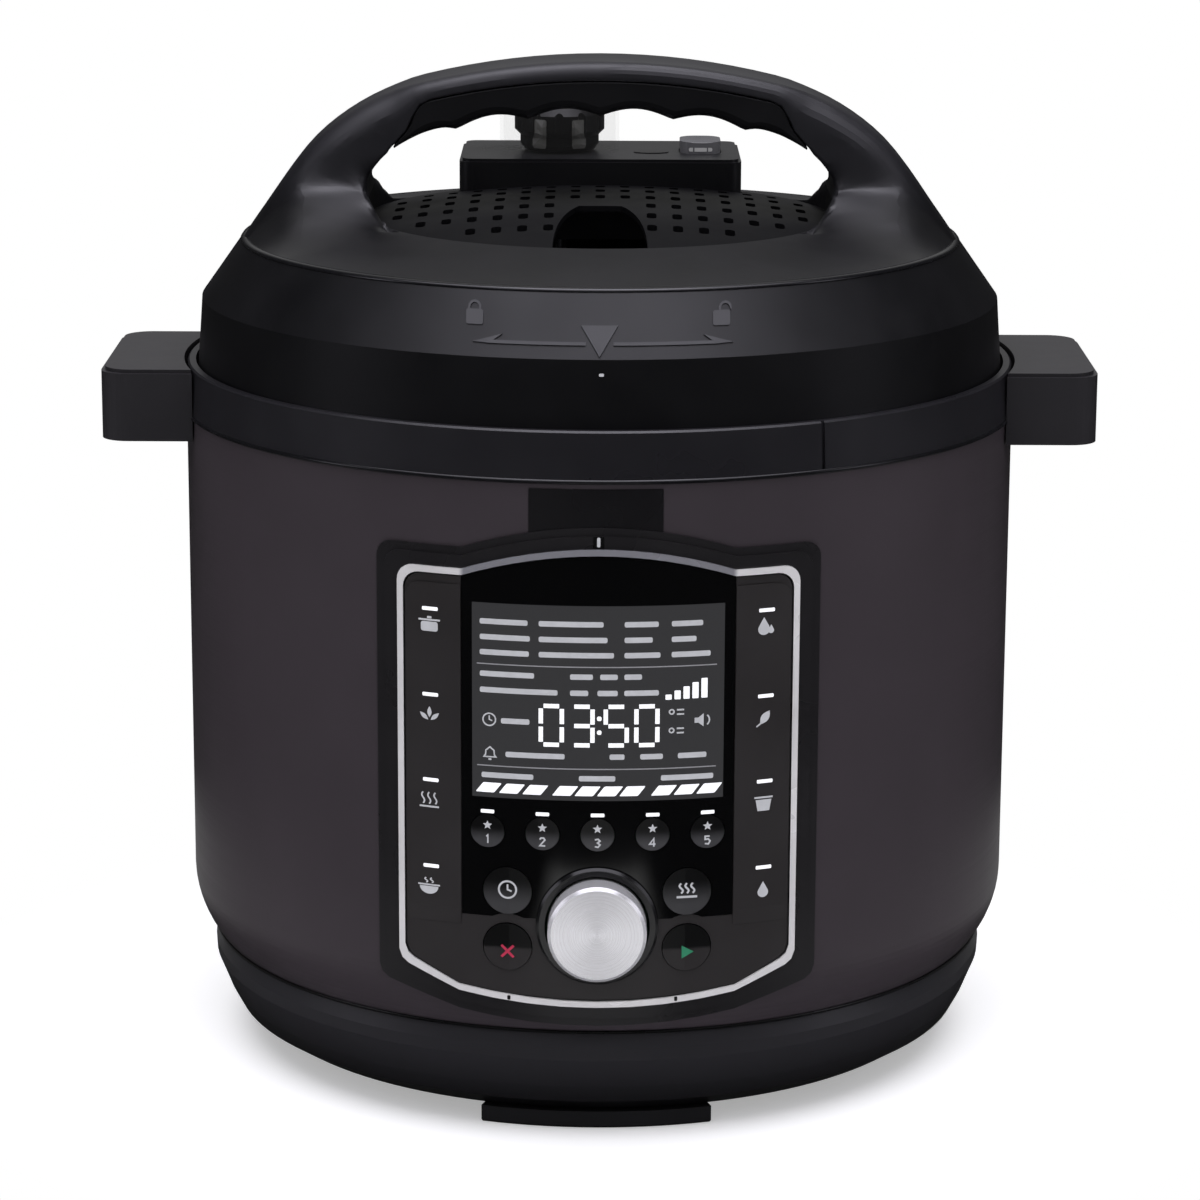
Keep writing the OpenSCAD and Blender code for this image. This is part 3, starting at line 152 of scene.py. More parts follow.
def mixed(tree, kind, factor, first, second):
    """A blend of two numbers (FLOAT) or two colours (RGBA)."""
    node = add_node(tree, "Mix")
    node.data_type = kind
    for name, value in (("Factor", factor), ("A", first), ("B", second)):
        put(tree, node.inputs[name], value)
    return node.outputs["Result"]


def mixed_shaders(tree, factor, first, second):
    return add_node(tree, "MixShader", factor, first, second).outputs[0]


def white_glow(tree, strength):
    return add_node(tree, "Emission", Color=WHITE, Strength=strength).outputs[0]


def mirror_rays(tree, path):
    """1 for a ray that comes off or through something glossy or clear."""
    return math_node(tree, "MAXIMUM", path.outputs["Is Glossy Ray"], path.outputs["Is Transmission Ray"])


# ---- light and floor

WHITE = (1, 1, 1)
LAMP_COLOUR = (0.91, 0.89, 1.0)
# Name, place, target, width, depth and radiance of each softbox
LAMPS = (
    ("overhead_softbox", (0, -0.35, 1.7), (0, -0.35, 0), 2.0, 1.5, 2.3),
    ("overhead_centre", (0, -0.1, 1.65), (0, -0.1, 0), 0.8, 0.6, 3.2),
    ("front_softbox", (0, -1.7, 1.5), (0, 0, 0.25), 2.6, 0.6, 0.95),
    ("left_strip", (-1.7, -0.5, 0.8), (0, 0, 0.15), 0.4, 1.1, 1.5),
    ("right_strip", (1.7, -0.5, 0.8), (0, 0, 0.15), 0.4, 1.1, 1.5),
)
FILL_LEVEL = 0.36       # even light from the whole room
GLOSS_DARK = 0.02       # what gloss sees of the room
GLOSS_BACK = 0.42       # what it sees of the pale wall high behind the object
# That wall's soft edges, as shares of the direction's length: to the sides, backwards and upwards
WALL_SIDE = (0.55, 0.15)
WALL_BACK = (0.2, 0.6)
WALL_RISE = (0.08, 0.36)

FLOOR_R = 0.95
FLOOR_DROP = 0.0002
FLOOR_COLOUR = (0.8, 0.8, 0.81)
FLOOR_CLEAR = (0.14, 0.24)      # radii over which the shadowed floor turns into plain white
FLOOR_GLOW = 0.6
CONTACT_GLOW = 0.36     # less under the object's edge: painted shadow on the floor, deepening its shadow where it is deepest
CONTACT_R = (0.114, 0.132)
# What gloss sees of the floor: a white card in front of the dial, and a pale ring to the left and right
CARD_SIDE = (0.1, 0.06)
CARD_NEAR = (-0.26, -0.3)
CARD_FAR = (-0.45, -0.42)
RING_LEVEL = 0.3
RING_INNER = (0.17, 0.23)
RING_OUTER = (0.38, 0.3)
RING_SIDE = (0.1, 0.2)


def add_lights():
    """Rectangular softboxes, each facing its target."""
    for name, place, target, width, depth, radiance in LAMPS:
        data = bpy.data.lights.new(name, "AREA")
        data.shape = "RECTANGLE"
        data.size = width
        data.size_y = depth
        data.energy = radiance * pi * width * depth
        data.color = LAMP_COLOUR
        light = add_object(name, data)
        light.location = place
        light.rotation_euler = (Vector(target) - Vector(place)).to_track_quat("-Z", "Y").to_euler()


def add_world():
    """White for the camera; gloss sees a dark room with a pale wall high behind the object."""
    world = bpy.data.worlds.new("studio")
    bpy.context.scene.world = world
    world.use_nodes = True
    tree = world.node_tree
    tree.nodes.clear()
    path = add_node(tree, "LightPath")
    axes = axes_of(tree, coordinates(tree, "Generated"))
    aside = math_node(tree, "ABSOLUTE", axes["X"])
    wall = times(tree, smooth(tree, aside, *WALL_SIDE), smooth(tree, axes["Y"], *WALL_BACK),
                 smooth(tree, axes["Z"], *WALL_RISE))
    gloss = smooth(tree, wall, 0, 1, GLOSS_DARK, GLOSS_BACK)
    level = mixed(tree, "FLOAT", mirror_rays(tree, path), FILL_LEVEL, gloss)
    seen = math_node(tree, "MAXIMUM", level, path.outputs["Is Camera Ray"])
    shader = add_node(tree, "Background", Color=WHITE, Strength=seen)
    add_node(tree, "OutputWorld", Surface=shader.outputs[0])


def floor_material():
    """The floor's own colour takes the shadow near the object; farther out it is plain white."""
    material = bpy.data.materials.new("floor")
    material.use_nodes = True
    tree = material.node_tree
    tree.nodes.clear()
    path = add_node(tree, "LightPath")
    camera_ray = path.outputs["Is Camera Ray"]
    place = coordinates(tree, "Object")
    radius = vector_node(tree, "LENGTH", place)
    axes = axes_of(tree, place)
    aside = math_node(tree, "ABSOLUTE", axes["X"])

    diffuse = add_node(tree, "BsdfDiffuse", Color=FLOOR_COLOUR)
    glow = smooth(tree, radius, *CONTACT_R, CONTACT_GLOW, FLOOR_GLOW)
    glow = white_glow(tree, times(tree, camera_ray, glow))
    shadowed = add_node(tree, "AddShader", diffuse.outputs[0], glow)
    clear_share = times(tree, smooth(tree, radius, *FLOOR_CLEAR), camera_ray)
    seen = mixed_shaders(tree, clear_share, shadowed.outputs[0], white_glow(tree, 1.0))

    card = times(tree, smooth(tree, aside, *CARD_SIDE), smooth(tree, axes["Y"], *CARD_NEAR),
                 smooth(tree, axes["Y"], *CARD_FAR))
    ring = times(tree, smooth(tree, radius, *RING_INNER), smooth(tree, radius, *RING_OUTER),
                 smooth(tree, aside, *RING_SIDE), RING_LEVEL)
    mirrored = math_node(tree, "MAXIMUM", math_node(tree, "MAXIMUM", card, ring), GLOSS_DARK)
    both = mixed_shaders(tree, mirror_rays(tree, path), seen, white_glow(tree, mirrored))
    add_node(tree, "OutputMaterial", Surface=both)
    return material


def add_floor():
    mesh = bpy.data.meshes.new("floor")
    build = bmesh.new()
    bmesh.ops.create_circle(build, cap_ends=True, radius=FLOOR_R, segments=96)
    build.to_mesh(mesh)
    build.free()
    floor = add_object("floor", mesh)
    floor.location.z = -FLOOR_DROP
    mesh.materials.append(floor_material())


# ---- materials

BLACK_GLOSS = (0.0025, 0.0025, 0.0027)
PANEL_GREY = (0.031, 0.028, 0.0275)
FINE_GRAIN = 0.2 * MM
MOULD_GRAIN = 0.35 * MM         # spark-eroded grain of the moulded parts
RUBBER_GRAIN = 0.5 * MM
SLOW_PLASTIC = 30 * MM          # sheen and colour drift over about this length
SLOW_METAL = 45 * MM
DIAL_Z = 74.6 * MM
DIAL_RINGS = 0.12 * MM
RING_LINES = (4, 4, 2200)       # brushed round the axis: thin lines of constant height
ARCH_Z = (120, 122)             # the trim's arched top is darker above this height
ARCH_HALF = (43 * MM, 41 * MM)


def shader_of(material):
    return next(n for n in material.node_tree.nodes if n.type == "BSDF_PRINCIPLED")


def feed(material, **values):
    """Puts values on the shader's own sockets, by name with _ for a space."""
    for name, value in values.items():
        put(material.node_tree, shader_of(material).inputs[name.replace("_", " ")], value)


def new_material(name, colour, roughness, metallic=0.0, specular=0.5):
    material = bpy.data.materials.new(name)
    material.use_nodes = True
    feed(material, Base_Color=colour, Roughness=roughness, Metallic=metallic, Specular_IOR_Level=specular)
    return material


def object_point(tree, stretch=(1, 1, 1)):
    return add_node(tree, "Mapping", Vector=coordinates(tree, "Object"), Scale=stretch).outputs["Vector"]


def noise(tree, point, size, detail=2.0, rough=0.5):
    """Noise whose features are about `size` metres across."""
    node = add_node(tree, "TexNoise", Vector=point, Scale=1 / size, Detail=detail, Roughness=rough)
    return node.outputs["Fac"]


def bump(tree, height, distance, strength):
    return add_node(tree, "Bump", Height=height, Distance=distance, Strength=strength).outputs["Normal"]


def vary_colour(material, factor, colour, share):
    """Colour drifts by `share` of itself over a slow noise."""
    dark = [c * (1 - share) for c in colour]
    light = [min(1, c * (1 + share)) for c in colour]
    feed(material, Base_Color=mixed(material.node_tree, "RGBA", factor, dark, light))


def moulded(name, colour, roughness, grain=MOULD_GRAIN, depth=0.03 * MM, specular=0.5, spread=0.06):
    """Moulded plastic with a fine grain and slow changes of sheen."""
    material = new_material(name, colour, roughness, specular=specular)
    tree = material.node_tree
    point = object_point(tree)
    slow = noise(tree, point, SLOW_PLASTIC, 3)
    feed(material, Roughness=ranged(tree, slow, roughness - spread, roughness + spread))
    vary_colour(material, ranged(tree, slow, 0, 1), colour, 0.08)
    if depth:
        feed(material, Normal=bump(tree, noise(tree, point, grain, 2), depth, 0.5))
    return material


def brushed(name, colour, roughness, stretch, depth=0.004 * MM, spread=0.07, metallic=1.0):
    """Metal with fine lines along the direction in which `stretch` is small."""
    material = new_material(name, colour, roughness, metallic=metallic)
    tree = material.node_tree
    lines = noise(tree, object_point(tree, stretch), 1, 3, 0.6)
    slow = noise(tree, object_point(tree), SLOW_METAL, 2)
    feed(material, Roughness=ranged(tree, lines, roughness - spread, roughness + spread))
    vary_colour(material, ranged(tree, slow, 0, 1), colour, 0.06)
    feed(material, Normal=bump(tree, lines, depth, 0.4))
    return material


def clear(name, colour, roughness, alpha):
    """Clear plastic: a thin wall that lets most of the light straight through."""
    material = new_material(name, colour, roughness)
    tree = material.node_tree
    smear = noise(tree, object_point(tree), 12 * MM, 2)
    feed(material, Alpha=alpha, Roughness=ranged(tree, smear, roughness * 0.6, roughness * 1.8))
    return material


# A colour that also glows. On lamps and the display it is their own light; on printed marks it is painted
# light that keeps the print white.
def glowing(name, colour, strength):
    material = new_material(name, colour, 0.5)
    tree = material.node_tree
    feed(material, Emission_Color=colour, Emission_Strength=strength)
    vary_colour(material, ranged(tree, noise(tree, object_point(tree), 3 * MM, 1), 0, 1), colour, 0.05)
    return material


def spun_dial():
    """Aluminium face turned in fine rings, with the two-sided gleam of a spun finish painted into its colour.
    """
    material = new_material("dial_spun_aluminium", (0.86, 0.86, 0.87), 0.24, metallic=0.5)
    tree = material.node_tree
    centred = vector_node(tree, "SUBTRACT", coordinates(tree, "Object"), (0, 0, DIAL_Z))
    flat = vector_node(tree, "MULTIPLY", centred, (1, 0, 1))
    noise_node = add_node(tree, "TexNoise", Scale=1 / DIAL_RINGS, Detail=3)
    noise_node.noise_dimensions = "1D"
    put(tree, noise_node.inputs["W"], vector_node(tree, "LENGTH", flat))
    rings = noise_node.outputs["Fac"]
    # Painted highlight: the colour is lighter in two pairs of sectors, left-right and up-down, for the gleam
    # of the spun finish
    axes = axes_of(tree, flat)
    angle = math_node(tree, "ARCTAN2", axes["Z"], axes["X"])
    gleam = ranged(tree, math_node(tree, "COSINE", times(tree, angle, 2)), 0, 1, -1, 1)
    feed(material, Base_Color=mixed(tree, "RGBA", gleam, (0.78, 0.78, 0.79), (0.97, 0.97, 0.98)),
         Roughness=ranged(tree, rings, 0.2, 0.34), Normal=bump(tree, rings, 0.003 * MM, 0.4))
    return material


def upright(tree):
    """Height above the floor, in millimetres."""
    return times(tree, axes_of(tree, object_point(tree))["Z"], 1 / MM)


def recolour(material, factor, colour):
    """The material with another colour where the factor is 1."""
    before = shader_of(material).inputs["Base Color"].links[0].from_socket
    feed(material, Base_Color=mixed(material.node_tree, "RGBA", factor, before, colour))
    return material


def by_height(material, colour, start, end):
    """The material with another colour above a band of heights, in millimetres."""
    tree = material.node_tree
    return recolour(material, smooth(tree, upright(tree), start, end), colour)


def half_moon(name, colour, z, fade):
    """A round key that is black above a height and takes its colour below it: painted light, as the lower
    part of a domed key looks lighter.
    """
    return by_height(moulded(name, colour, 0.34, depth=0.01 * MM), BLACK_GLOSS, z - fade, z + fade)


def shell_steel():
    """Dark coated steel, brushed so finely that it hardly shows."""
    material = brushed("shell_black_steel", (0.057, 0.0475, 0.0535), 0.34, RING_LINES, 0.0015 * MM, 0.02, 0.1)
    feed(material, Specular_IOR_Level=0.3)
    return material


def silver_trim():
    """Satin silver line whose arched top is a darker grey."""
    material = moulded("trim_silver", (0.88, 0.87, 0.85), 0.24, FINE_GRAIN, 0.004 * MM)
    feed(material, Metallic=0.15)
    tree = material.node_tree
    aside = math_node(tree, "ABSOLUTE", axes_of(tree, object_point(tree))["X"])
    arch = times(tree, smooth(tree, aside, *ARCH_HALF), smooth(tree, upright(tree), *ARCH_Z))
    return recolour(material, arch, (0.27, 0.27, 0.29))


def lit_window():
    """Tinted window over a display that glows a little."""
    material = moulded("window_tint", (0.012, 0.012, 0.0125), 0.14, depth=0, spread=0.03)
    feed(material, Emission_Color=(0.95, 0.95, 1), Emission_Strength=0.03)
    return material


# Colour, roughness and finish of every kind of surface; heights are in millimetres
MATERIALS = {
    # Painted light: the lid plastic is lighter above 278 to 302 mm, on the handle, where the overhead light
    # falls.
    "lid": by_height(moulded("lid_plastic", (0.003, 0.003, 0.0038), 0.42), (0.015, 0.0148, 0.0175), 278, 302),
    "bead": moulded("bead_plastic", (0.006, 0.006, 0.007), 0.22, depth=0),
    "grip": moulded("grip_plastic", (0.004, 0.004, 0.0048), 0.48, RUBBER_GRAIN),
    "grille": moulded("grille_plastic", (0.002, 0.002, 0.0026), 0.55, specular=0.16),
    "housing": moulded("housing_plastic", (0.010, 0.010, 0.011), 0.32),
    "ring": moulded("ring_plastic", (0.015, 0.0145, 0.017), 0.33),
    "side": moulded("side_handle_plastic", (0.024, 0.0228, 0.025), 0.36),
    # Painted shade: the base is darker towards its bottom edge, which faces the floor in shade.
    "base": by_height(moulded("base_plastic", (0.008, 0.0078, 0.009), 0.4), (0.027, 0.0262, 0.03), 6, 28),
    "rubber": moulded("foot_rubber", (0.014, 0.0138, 0.015), 0.75, depth=0.06 * MM, specular=0.3),
    "shell": shell_steel(),
    "pot": brushed("pot_steel", (0.66, 0.66, 0.67), 0.22, RING_LINES),
    "liner": brushed("liner_steel", (0.5, 0.5, 0.51), 0.32, RING_LINES),
    "lid_steel": brushed("lid_steel", (0.68, 0.68, 0.69), 0.16, (1500, 4, 4)),
    "cast": brushed("cast_aluminium", (0.6, 0.6, 0.62), 0.45, (300, 300, 300), depth=0.02 * MM),
    "turned": brushed("turned_aluminium", (0.72, 0.72, 0.73), 0.3, RING_LINES),
    "wire": brushed("spring_steel", (0.6, 0.6, 0.62), 0.22, (500, 500, 500)),
    "screw": brushed("screw_steel", (0.55, 0.55, 0.56), 0.3, (500, 500, 500)),
    "brass": brushed("lever_brass", (0.62, 0.5, 0.28), 0.3, (4, 800, 4)),
    "fuse": brushed("fuse_metal", (0.6, 0.58, 0.52), 0.35, (400, 400, 400)),
    "cover": moulded("cover_sheet", (0.2, 0.2, 0.21), 0.5),
    "board": moulded("board_green", (0.03, 0.14, 0.06), 0.4),
    "switch": moulded("switch_plastic", (0.55, 0.55, 0.53), 0.45),
    "bezel": moulded("bezel_plastic", (0.016, 0.015, 0.016), 0.3),
    "surround": moulded("surround_plastic", PANEL_GREY, 0.38, depth=0.015 * MM),
    "gloss": moulded("face_gloss", (0.002, 0.002, 0.0022), 0.08, depth=0, spread=0.02),
    "window": lit_window(),
    "trim": silver_trim(),
    "collar": moulded("collar_plastic", (0.008, 0.008, 0.0085), 0.22, depth=0.01 * MM),
    # Painted light on the domed keys: lighter below a height and black above it.
    "preset_key": half_moon("preset_key_plastic", (0.06, 0.06, 0.062), 103.0, 2.5),
    "round_key": half_moon("round_key_plastic", (0.055, 0.055, 0.056), 84.5, 4.5),
    "key_surround": moulded("key_surround_plastic", PANEL_GREY, 0.38, depth=0.015 * MM),
    "dark_key": half_moon("key_dark", PANEL_GREY, 66.6, 0.7),
    "display": moulded("display_white", (0.8, 0.8, 0.78), 0.5),
    "inlet": moulded("inlet_plastic", (0.012, 0.012, 0.0125), 0.35),
    "valve": moulded("valve_plastic", (0.004, 0.004, 0.004), 0.3, specular=0.25),
    # Painted highlight: light grey bars on the steam valve stand in for reflections on its ribs.
    "valve_glint_paint": moulded("valve_painted_glint_plastic", (0.12, 0.12, 0.11), 0.25, depth=0.01 * MM),
    "button": moulded("button_grey", (0.13, 0.13, 0.135), 0.25),
    "seal": moulded("seal_silicone", (0.72, 0.72, 0.7), 0.5),
    "cup": clear("cup_clear", (0.42, 0.45, 0.47), 0.1, 0.24),
    "shield": clear("shield_clear", (0.2, 0.2, 0.19), 0.05, 0.045),
    "dial": spun_dial(),
    "lamp": glowing("lamp_white", (0.86, 0.87, 0.88), 0.6),
    # The print glows: on the display and the status lamp this is their own light; on the panel's icons, the
    # keys' marks and the lid's mark it is painted light.
    "print": glowing("print_white", (0.5, 0.51, 0.52), 0.22),
    "dim_print": glowing("print_dim", (0.3, 0.3, 0.31), 0.12),
    "red_print": glowing("print_red", (0.42, 0.02, 0.06), 0.3),
    "green_print": glowing("print_green", (0.02, 0.2, 0.1), 0.3),
    "plate": moulded("plate_dark", (0.009, 0.0085, 0.0095), 0.3, depth=0.008 * MM),
    # Painted highlight: the raised marks on the lid are much lighter than the lid, as their tops catch the
    # light.
    "lid_mark": moulded("lid_mark_painted_highlight", (0.035, 0.035, 0.038), 0.32),
    # Dark plastic for the joints, the notch and the grip's backings; the disc on the valve housing and the
    # ring in the base's seam are painted shade.
    "housing_dark": moulded("dark_plastic_and_painted_shade", (0.004, 0.004, 0.004), 0.3, depth=0),
}

NODE_MATERIALS = {
    "base_housing": "base", "bottom_cover": "cover", "rubber_feet": "rubber", "housing_screws": "screw",
    "outer_shell": "shell", "upper_ring": "ring", "side_handle_left": "side", "side_handle_right": "side",
    "outer_pot": "liner", "inner_pot": "pot", "heating_plate": "cast", "temperature_sensor": "turned",
    "sensor_spring": "wire", "thermal_fuse": "fuse", "power_board": "board", "power_inlet": "inlet",
    "control_board": "board", "key_switches": "switch", "panel_bezel": "bezel", "panel_trim": "trim",
    "panel_surround": "surround", "panel_face": "gloss", "display_window": "window",
    "display_module": "display", "dial_collar": "collar", "dial_encoder": "wire", "dial_shaft": "wire",
    "dial_knob": "dial", "key_delay": "round_key", "key_warm": "round_key", "key_cancel": "dark_key",
    "key_start": "dark_key",
    "condensation_collector": "cup", "lid_cover": "lid", "handle_grip": "grip", "vent_grille": "grille",
    "valve_housing": "housing", "valve_shield": "shield", "steam_valve": "valve", "release_button": "button",
    "button_spring": "wire", "release_lever": "brass", "steam_pipe": "lid_steel", "float_valve": "wire",
    "inner_lid": "lid_steel", "sealing_ring": "seal", "ring_rack": "wire",
    **{f"key_preset_{i}": "preset_key" for i in range(1, 6)},
    **{f"key_program_{i}": "key_surround" for i in range(1, 9)},
}


def dress_nodes():
    for name, kind in NODE_MATERIALS.items():
        data = nodes[name].data
        data.materials.clear()
        data.materials.append(MATERIALS[kind])


# ---- pieces

def add_piece(name, mesh, body, material):
    """A mesh as a piece that rides on a body."""
    mesh.materials.clear()
    mesh.materials.append(MATERIALS[material])
    piece = add_object(name, mesh)
    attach(piece, body)
    return piece


def solid(name, verts, faces, body, material):
    mesh = bpy.data.meshes.new(name)
    mesh.from_pydata(verts, [], faces)
    build = bmesh.new()
    build.from_mesh(mesh)
    bmesh.ops.recalc_face_normals(build, faces=build.faces)
    build.to_mesh(mesh)
    build.free()
    return add_piece(name, mesh, body, material)


def lathe(name, section, body, material, steps=180):
    """A closed section, in millimetres of radius and height, swept once round the pot's axis."""
    count = len(section)
    verts = [Vector((r * cos(a), r * sin(a), z)) * MM
             for a in (2 * pi * i / steps for i in range(steps)) for r, z in section]
    faces = [[i * count + k, i * count + (k + 1) % count,
              (i + 1) % steps * count + (k + 1) % count, (i + 1) % steps * count + k]
             for i in range(steps) for k in range(count)]
    piece = solid(name, verts, faces, body, material)
    piece.data.shade_smooth()


# ---- lid

# Sizes of the lid in millimetres, as the CAD has them
PLATEAU_R = (76.5, 116.85)      # the gently sloping top, from the grille out to the shoulder
PLATEAU_Z = (276.43, 270.5)
CREST_Z, CREST_R = 289.4, 114.8     # mounds under the handle's roots: a lying cylinder
FLANK_RUN = 0.9                 # their outer side leans in by this much for each millimetre up
LEG_TOP_Z = 304                 # the handle's legs are left alone above this height
MOUND_X, MOUND_Y, MOUND_R = 42, 82, 121     # the mounds lie beyond this x, within this y and radius
MOUND_LOW_Z = 269.5

# How the mounds are softened
SOFT_CELL = 2.5         # size of the cells they are cut into
SOFT_ROUNDS = 70        # rounds of averaging, each by half
RIDGE_Y = 18            # they keep their height up to this y
FOOT_Y = (30, 0.95, 56, 26, 66)     # and end at 30 + 0.95 (x - 56), from 26 to 66
FOOT_HOLLOW = 2.5       # how far their sides may sink below the plateau
SKIN = 0.25             # vertices within this of the top surface are its skin
# Where the skin is held, with a soft edge: at the shoulder, the legs, the region's ends, the grille's rim
HOLD_SHOULDER, HOLD_LEG_Z, HOLD_Y, HOLD_X = 7, (290, 302), (64, 78), (44, 52)
HOLD_RIM, HOLD_RIM_Z = (0.3, 5), (278, 281)
SHARP_FREE, SHARP = radians(40), radians(15)    # edges bent by more stay sharp, on the skin and elsewhere

# The hole under the handle is wider at its lower corners, between these heights and distances
CORNER_OUT = 4.6
CORNER_LOW_Z, CORNER_HIGH_Z, CORNER_IN_X, CORNER_OUT_X = (279, 289), (299, 309), (50, 58), (62, 94)
LEG_HALF_DEPTH = 40
SEAM_LINE = ((63.0, 302.3), (62.5, 304.5), (61.9, 307.0), (61.2, 309.7), (60.2, 312.2))
BACKING_OUT, BACKING_IN, BACKING_HALF = 1.5, 0.9, 12

RING_EDGE = ((137.4, 213.82), (138.1, 213.82), (138.55, 214.3), (138.0, 215.2), (137.4, 215.2))
SHOULDER_EDGE = ((117.6, 269.2), (118.75, 269.3), (118.95, 269.6), (118.5, 270.25), (117.5, 270.72),
                 (116.7, 270.8), (116.4, 270.2))
# A dark ring in the seam between the shell and the base: painted shadow.
BASE_SEAM_SHADOW = ((129.0, 36.1), (130.7, 36.1), (130.75, 36.95), (129.0, 36.95))


def ramp(value, start, end):
    """0 before start, 1 after end, smooth between; with start above end it falls."""
    t = np.clip((value - start) / (end - start), 0, 1)
    return t * t * (3 - 2 * t)


def plateau(r):
    share = (r - PLATEAU_R[0]) / (PLATEAU_R[1] - PLATEAU_R[0])
    return PLATEAU_Z[0] + (PLATEAU_Z[1] - PLATEAU_Z[0]) * share


def near_mounds(face):
    x, y, z = face.calc_center_median() / MM
    inside_box = abs(x) > MOUND_X - 2 and abs(y) < MOUND_Y and MOUND_LOW_Z - 1.5 < z < LEG_TOP_Z
    return inside_box and hypot(x, y) < MOUND_R


def cut_grid(build):
    """Cuts the faces about the mounds into small cells, so that they can bend."""
    reach, last = MOUND_R + 1, 0.1
    planes = [((x, 0, 0), (1, 0, 0)) for x in np.arange(-reach, reach + last, SOFT_CELL) if abs(x) > MOUND_X]
    planes += [((0, y, 0), (0, 1, 0)) for y in np.arange(-MOUND_Y, MOUND_Y + last, SOFT_CELL)]
    planes += [((0, 0, z), (0, 0, 1)) for z in np.arange(MOUND_LOW_Z + 1.5, LEG_TOP_Z + last, SOFT_CELL)]
    for place, normal in planes:
        faces = [face for face in build.faces if near_mounds(face)]
        edges = {edge for face in faces for edge in face.edges}
        verts = {vert for face in faces for vert in face.verts}
        bmesh.ops.bisect_plane(build, geom=[*verts, *edges, *faces], dist=1e-6,
                               plane_co=Vector(place) * MM, plane_no=normal)


def open_corners(places):
    """Moves the legs' inner corners, and the grip's ends with them, a little outwards."""
    x, z = np.abs(places[:, 0]), places[:, 2]
    share = (1 - ramp(z, *CORNER_HIGH_Z)) * ramp(z, *CORNER_LOW_Z)
    share *= 1 - ramp(x, *CORNER_OUT_X)
    share *= ramp(x, *CORNER_IN_X)
    places[:, 0] += np.sign(places[:, 0]) * CORNER_OUT * share * (np.abs(places[:, 1]) < LEG_HALF_DEPTH)


def places_of(verts):
    """Vertices as an array of places in millimetres."""
    return np.array([vert.co for vert in verts]) / MM


def move_to(verts, places):
    for vert, place in zip(verts, places):
        vert.co = Vector(place) * MM


def narrowed(places):
    """Heights with mounds that narrow towards the grille and end in hollows, and what may bend."""
    x, y, z = np.abs(places[:, 0]), np.abs(places[:, 1]), places[:, 2]
    r = np.hypot(x, y)
    inner_r, outer_r = PLATEAU_R
    floor_z = plateau(r)
    crest = CREST_Z - CREST_R + np.sqrt(np.maximum(0, CREST_R ** 2 - y ** 2))
    flank = PLATEAU_Z[1] + (outer_r - r) / FLANK_RUN
    top = np.maximum(floor_z, np.minimum(crest, flank))
    close = (x > MOUND_X) & (y < MOUND_Y) & (z > MOUND_LOW_Z) & (z < LEG_TOP_Z)
    close &= (r > inner_r - 0.2) & (r < outer_r + 0.05)
    skin = close & ((z > top - SKIN) | (np.abs(r - inner_r) < 0.2))
    start, slope, start_x, least, most = FOOT_Y
    share = 1 - ramp(y, RIDGE_Y, np.clip(start + slope * (x - start_x), least, most))
    low = np.where(skin, floor_z, floor_z - FOOT_HOLLOW)
    sinks = close & (z > low) & (z < top + 0.3) & (skin | (r < outer_r - 4))
    heights = np.where(sinks, low + (z - low) * share, z)
    free = skin * ramp(r, outer_r, outer_r - HOLD_SHOULDER) * (1 - ramp(heights, *HOLD_LEG_Z))
    free *= (1 - ramp(y, *HOLD_Y)) * ramp(x, *HOLD_X)
    free *= np.maximum(ramp(r, inner_r + HOLD_RIM[0], inner_r + HOLD_RIM[1]), ramp(heights, *HOLD_RIM_Z))
    return heights, free


def averaged(places, pairs, free):
    """The places after rounds in which each free one moves halfway to the middle of its neighbours."""
    count = np.zeros(len(places))
    np.add.at(count, pairs.ravel(), 1)
    for _ in range(SOFT_ROUNDS):
        total = np.zeros_like(places)
        np.add.at(total, pairs[:, 0], places[pairs[:, 1]])
        np.add.at(total, pairs[:, 1], places[pairs[:, 0]])
        places += 0.5 * free[:, None] * (total / np.maximum(count, 1)[:, None] - places)
    return places


def add_soft_lid():
    """The lid cover once more, with mounds that run smoothly from the legs into the cone."""
    build = bmesh.new()
    build.from_mesh(nodes["lid_cover"].data)
    bmesh.ops.remove_doubles(build, verts=build.verts, dist=1e-6)
    cut_grid(build)
    build.verts.index_update()
    places = places_of(build.verts)
    open_corners(places)
    pairs = np.array([[end.index for end in edge.verts] for edge in build.edges])
    places[:, 2], free = narrowed(places)
    move_to(build.verts, averaged(places, pairs, free))
    for face in build.faces:
        face.smooth = True
    for edge in build.edges:
        soft = all(free[vert.index] > 0.02 for vert in edge.verts)
        edge.smooth = edge.calc_face_angle(0) < (SHARP_FREE if soft else SHARP)
    mesh = bpy.data.meshes.new("lid_cover_soft")
    build.to_mesh(mesh)
    build.free()
    piece = add_piece("lid_cover_soft", mesh, "lid", "lid")
    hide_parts("lid_cover")


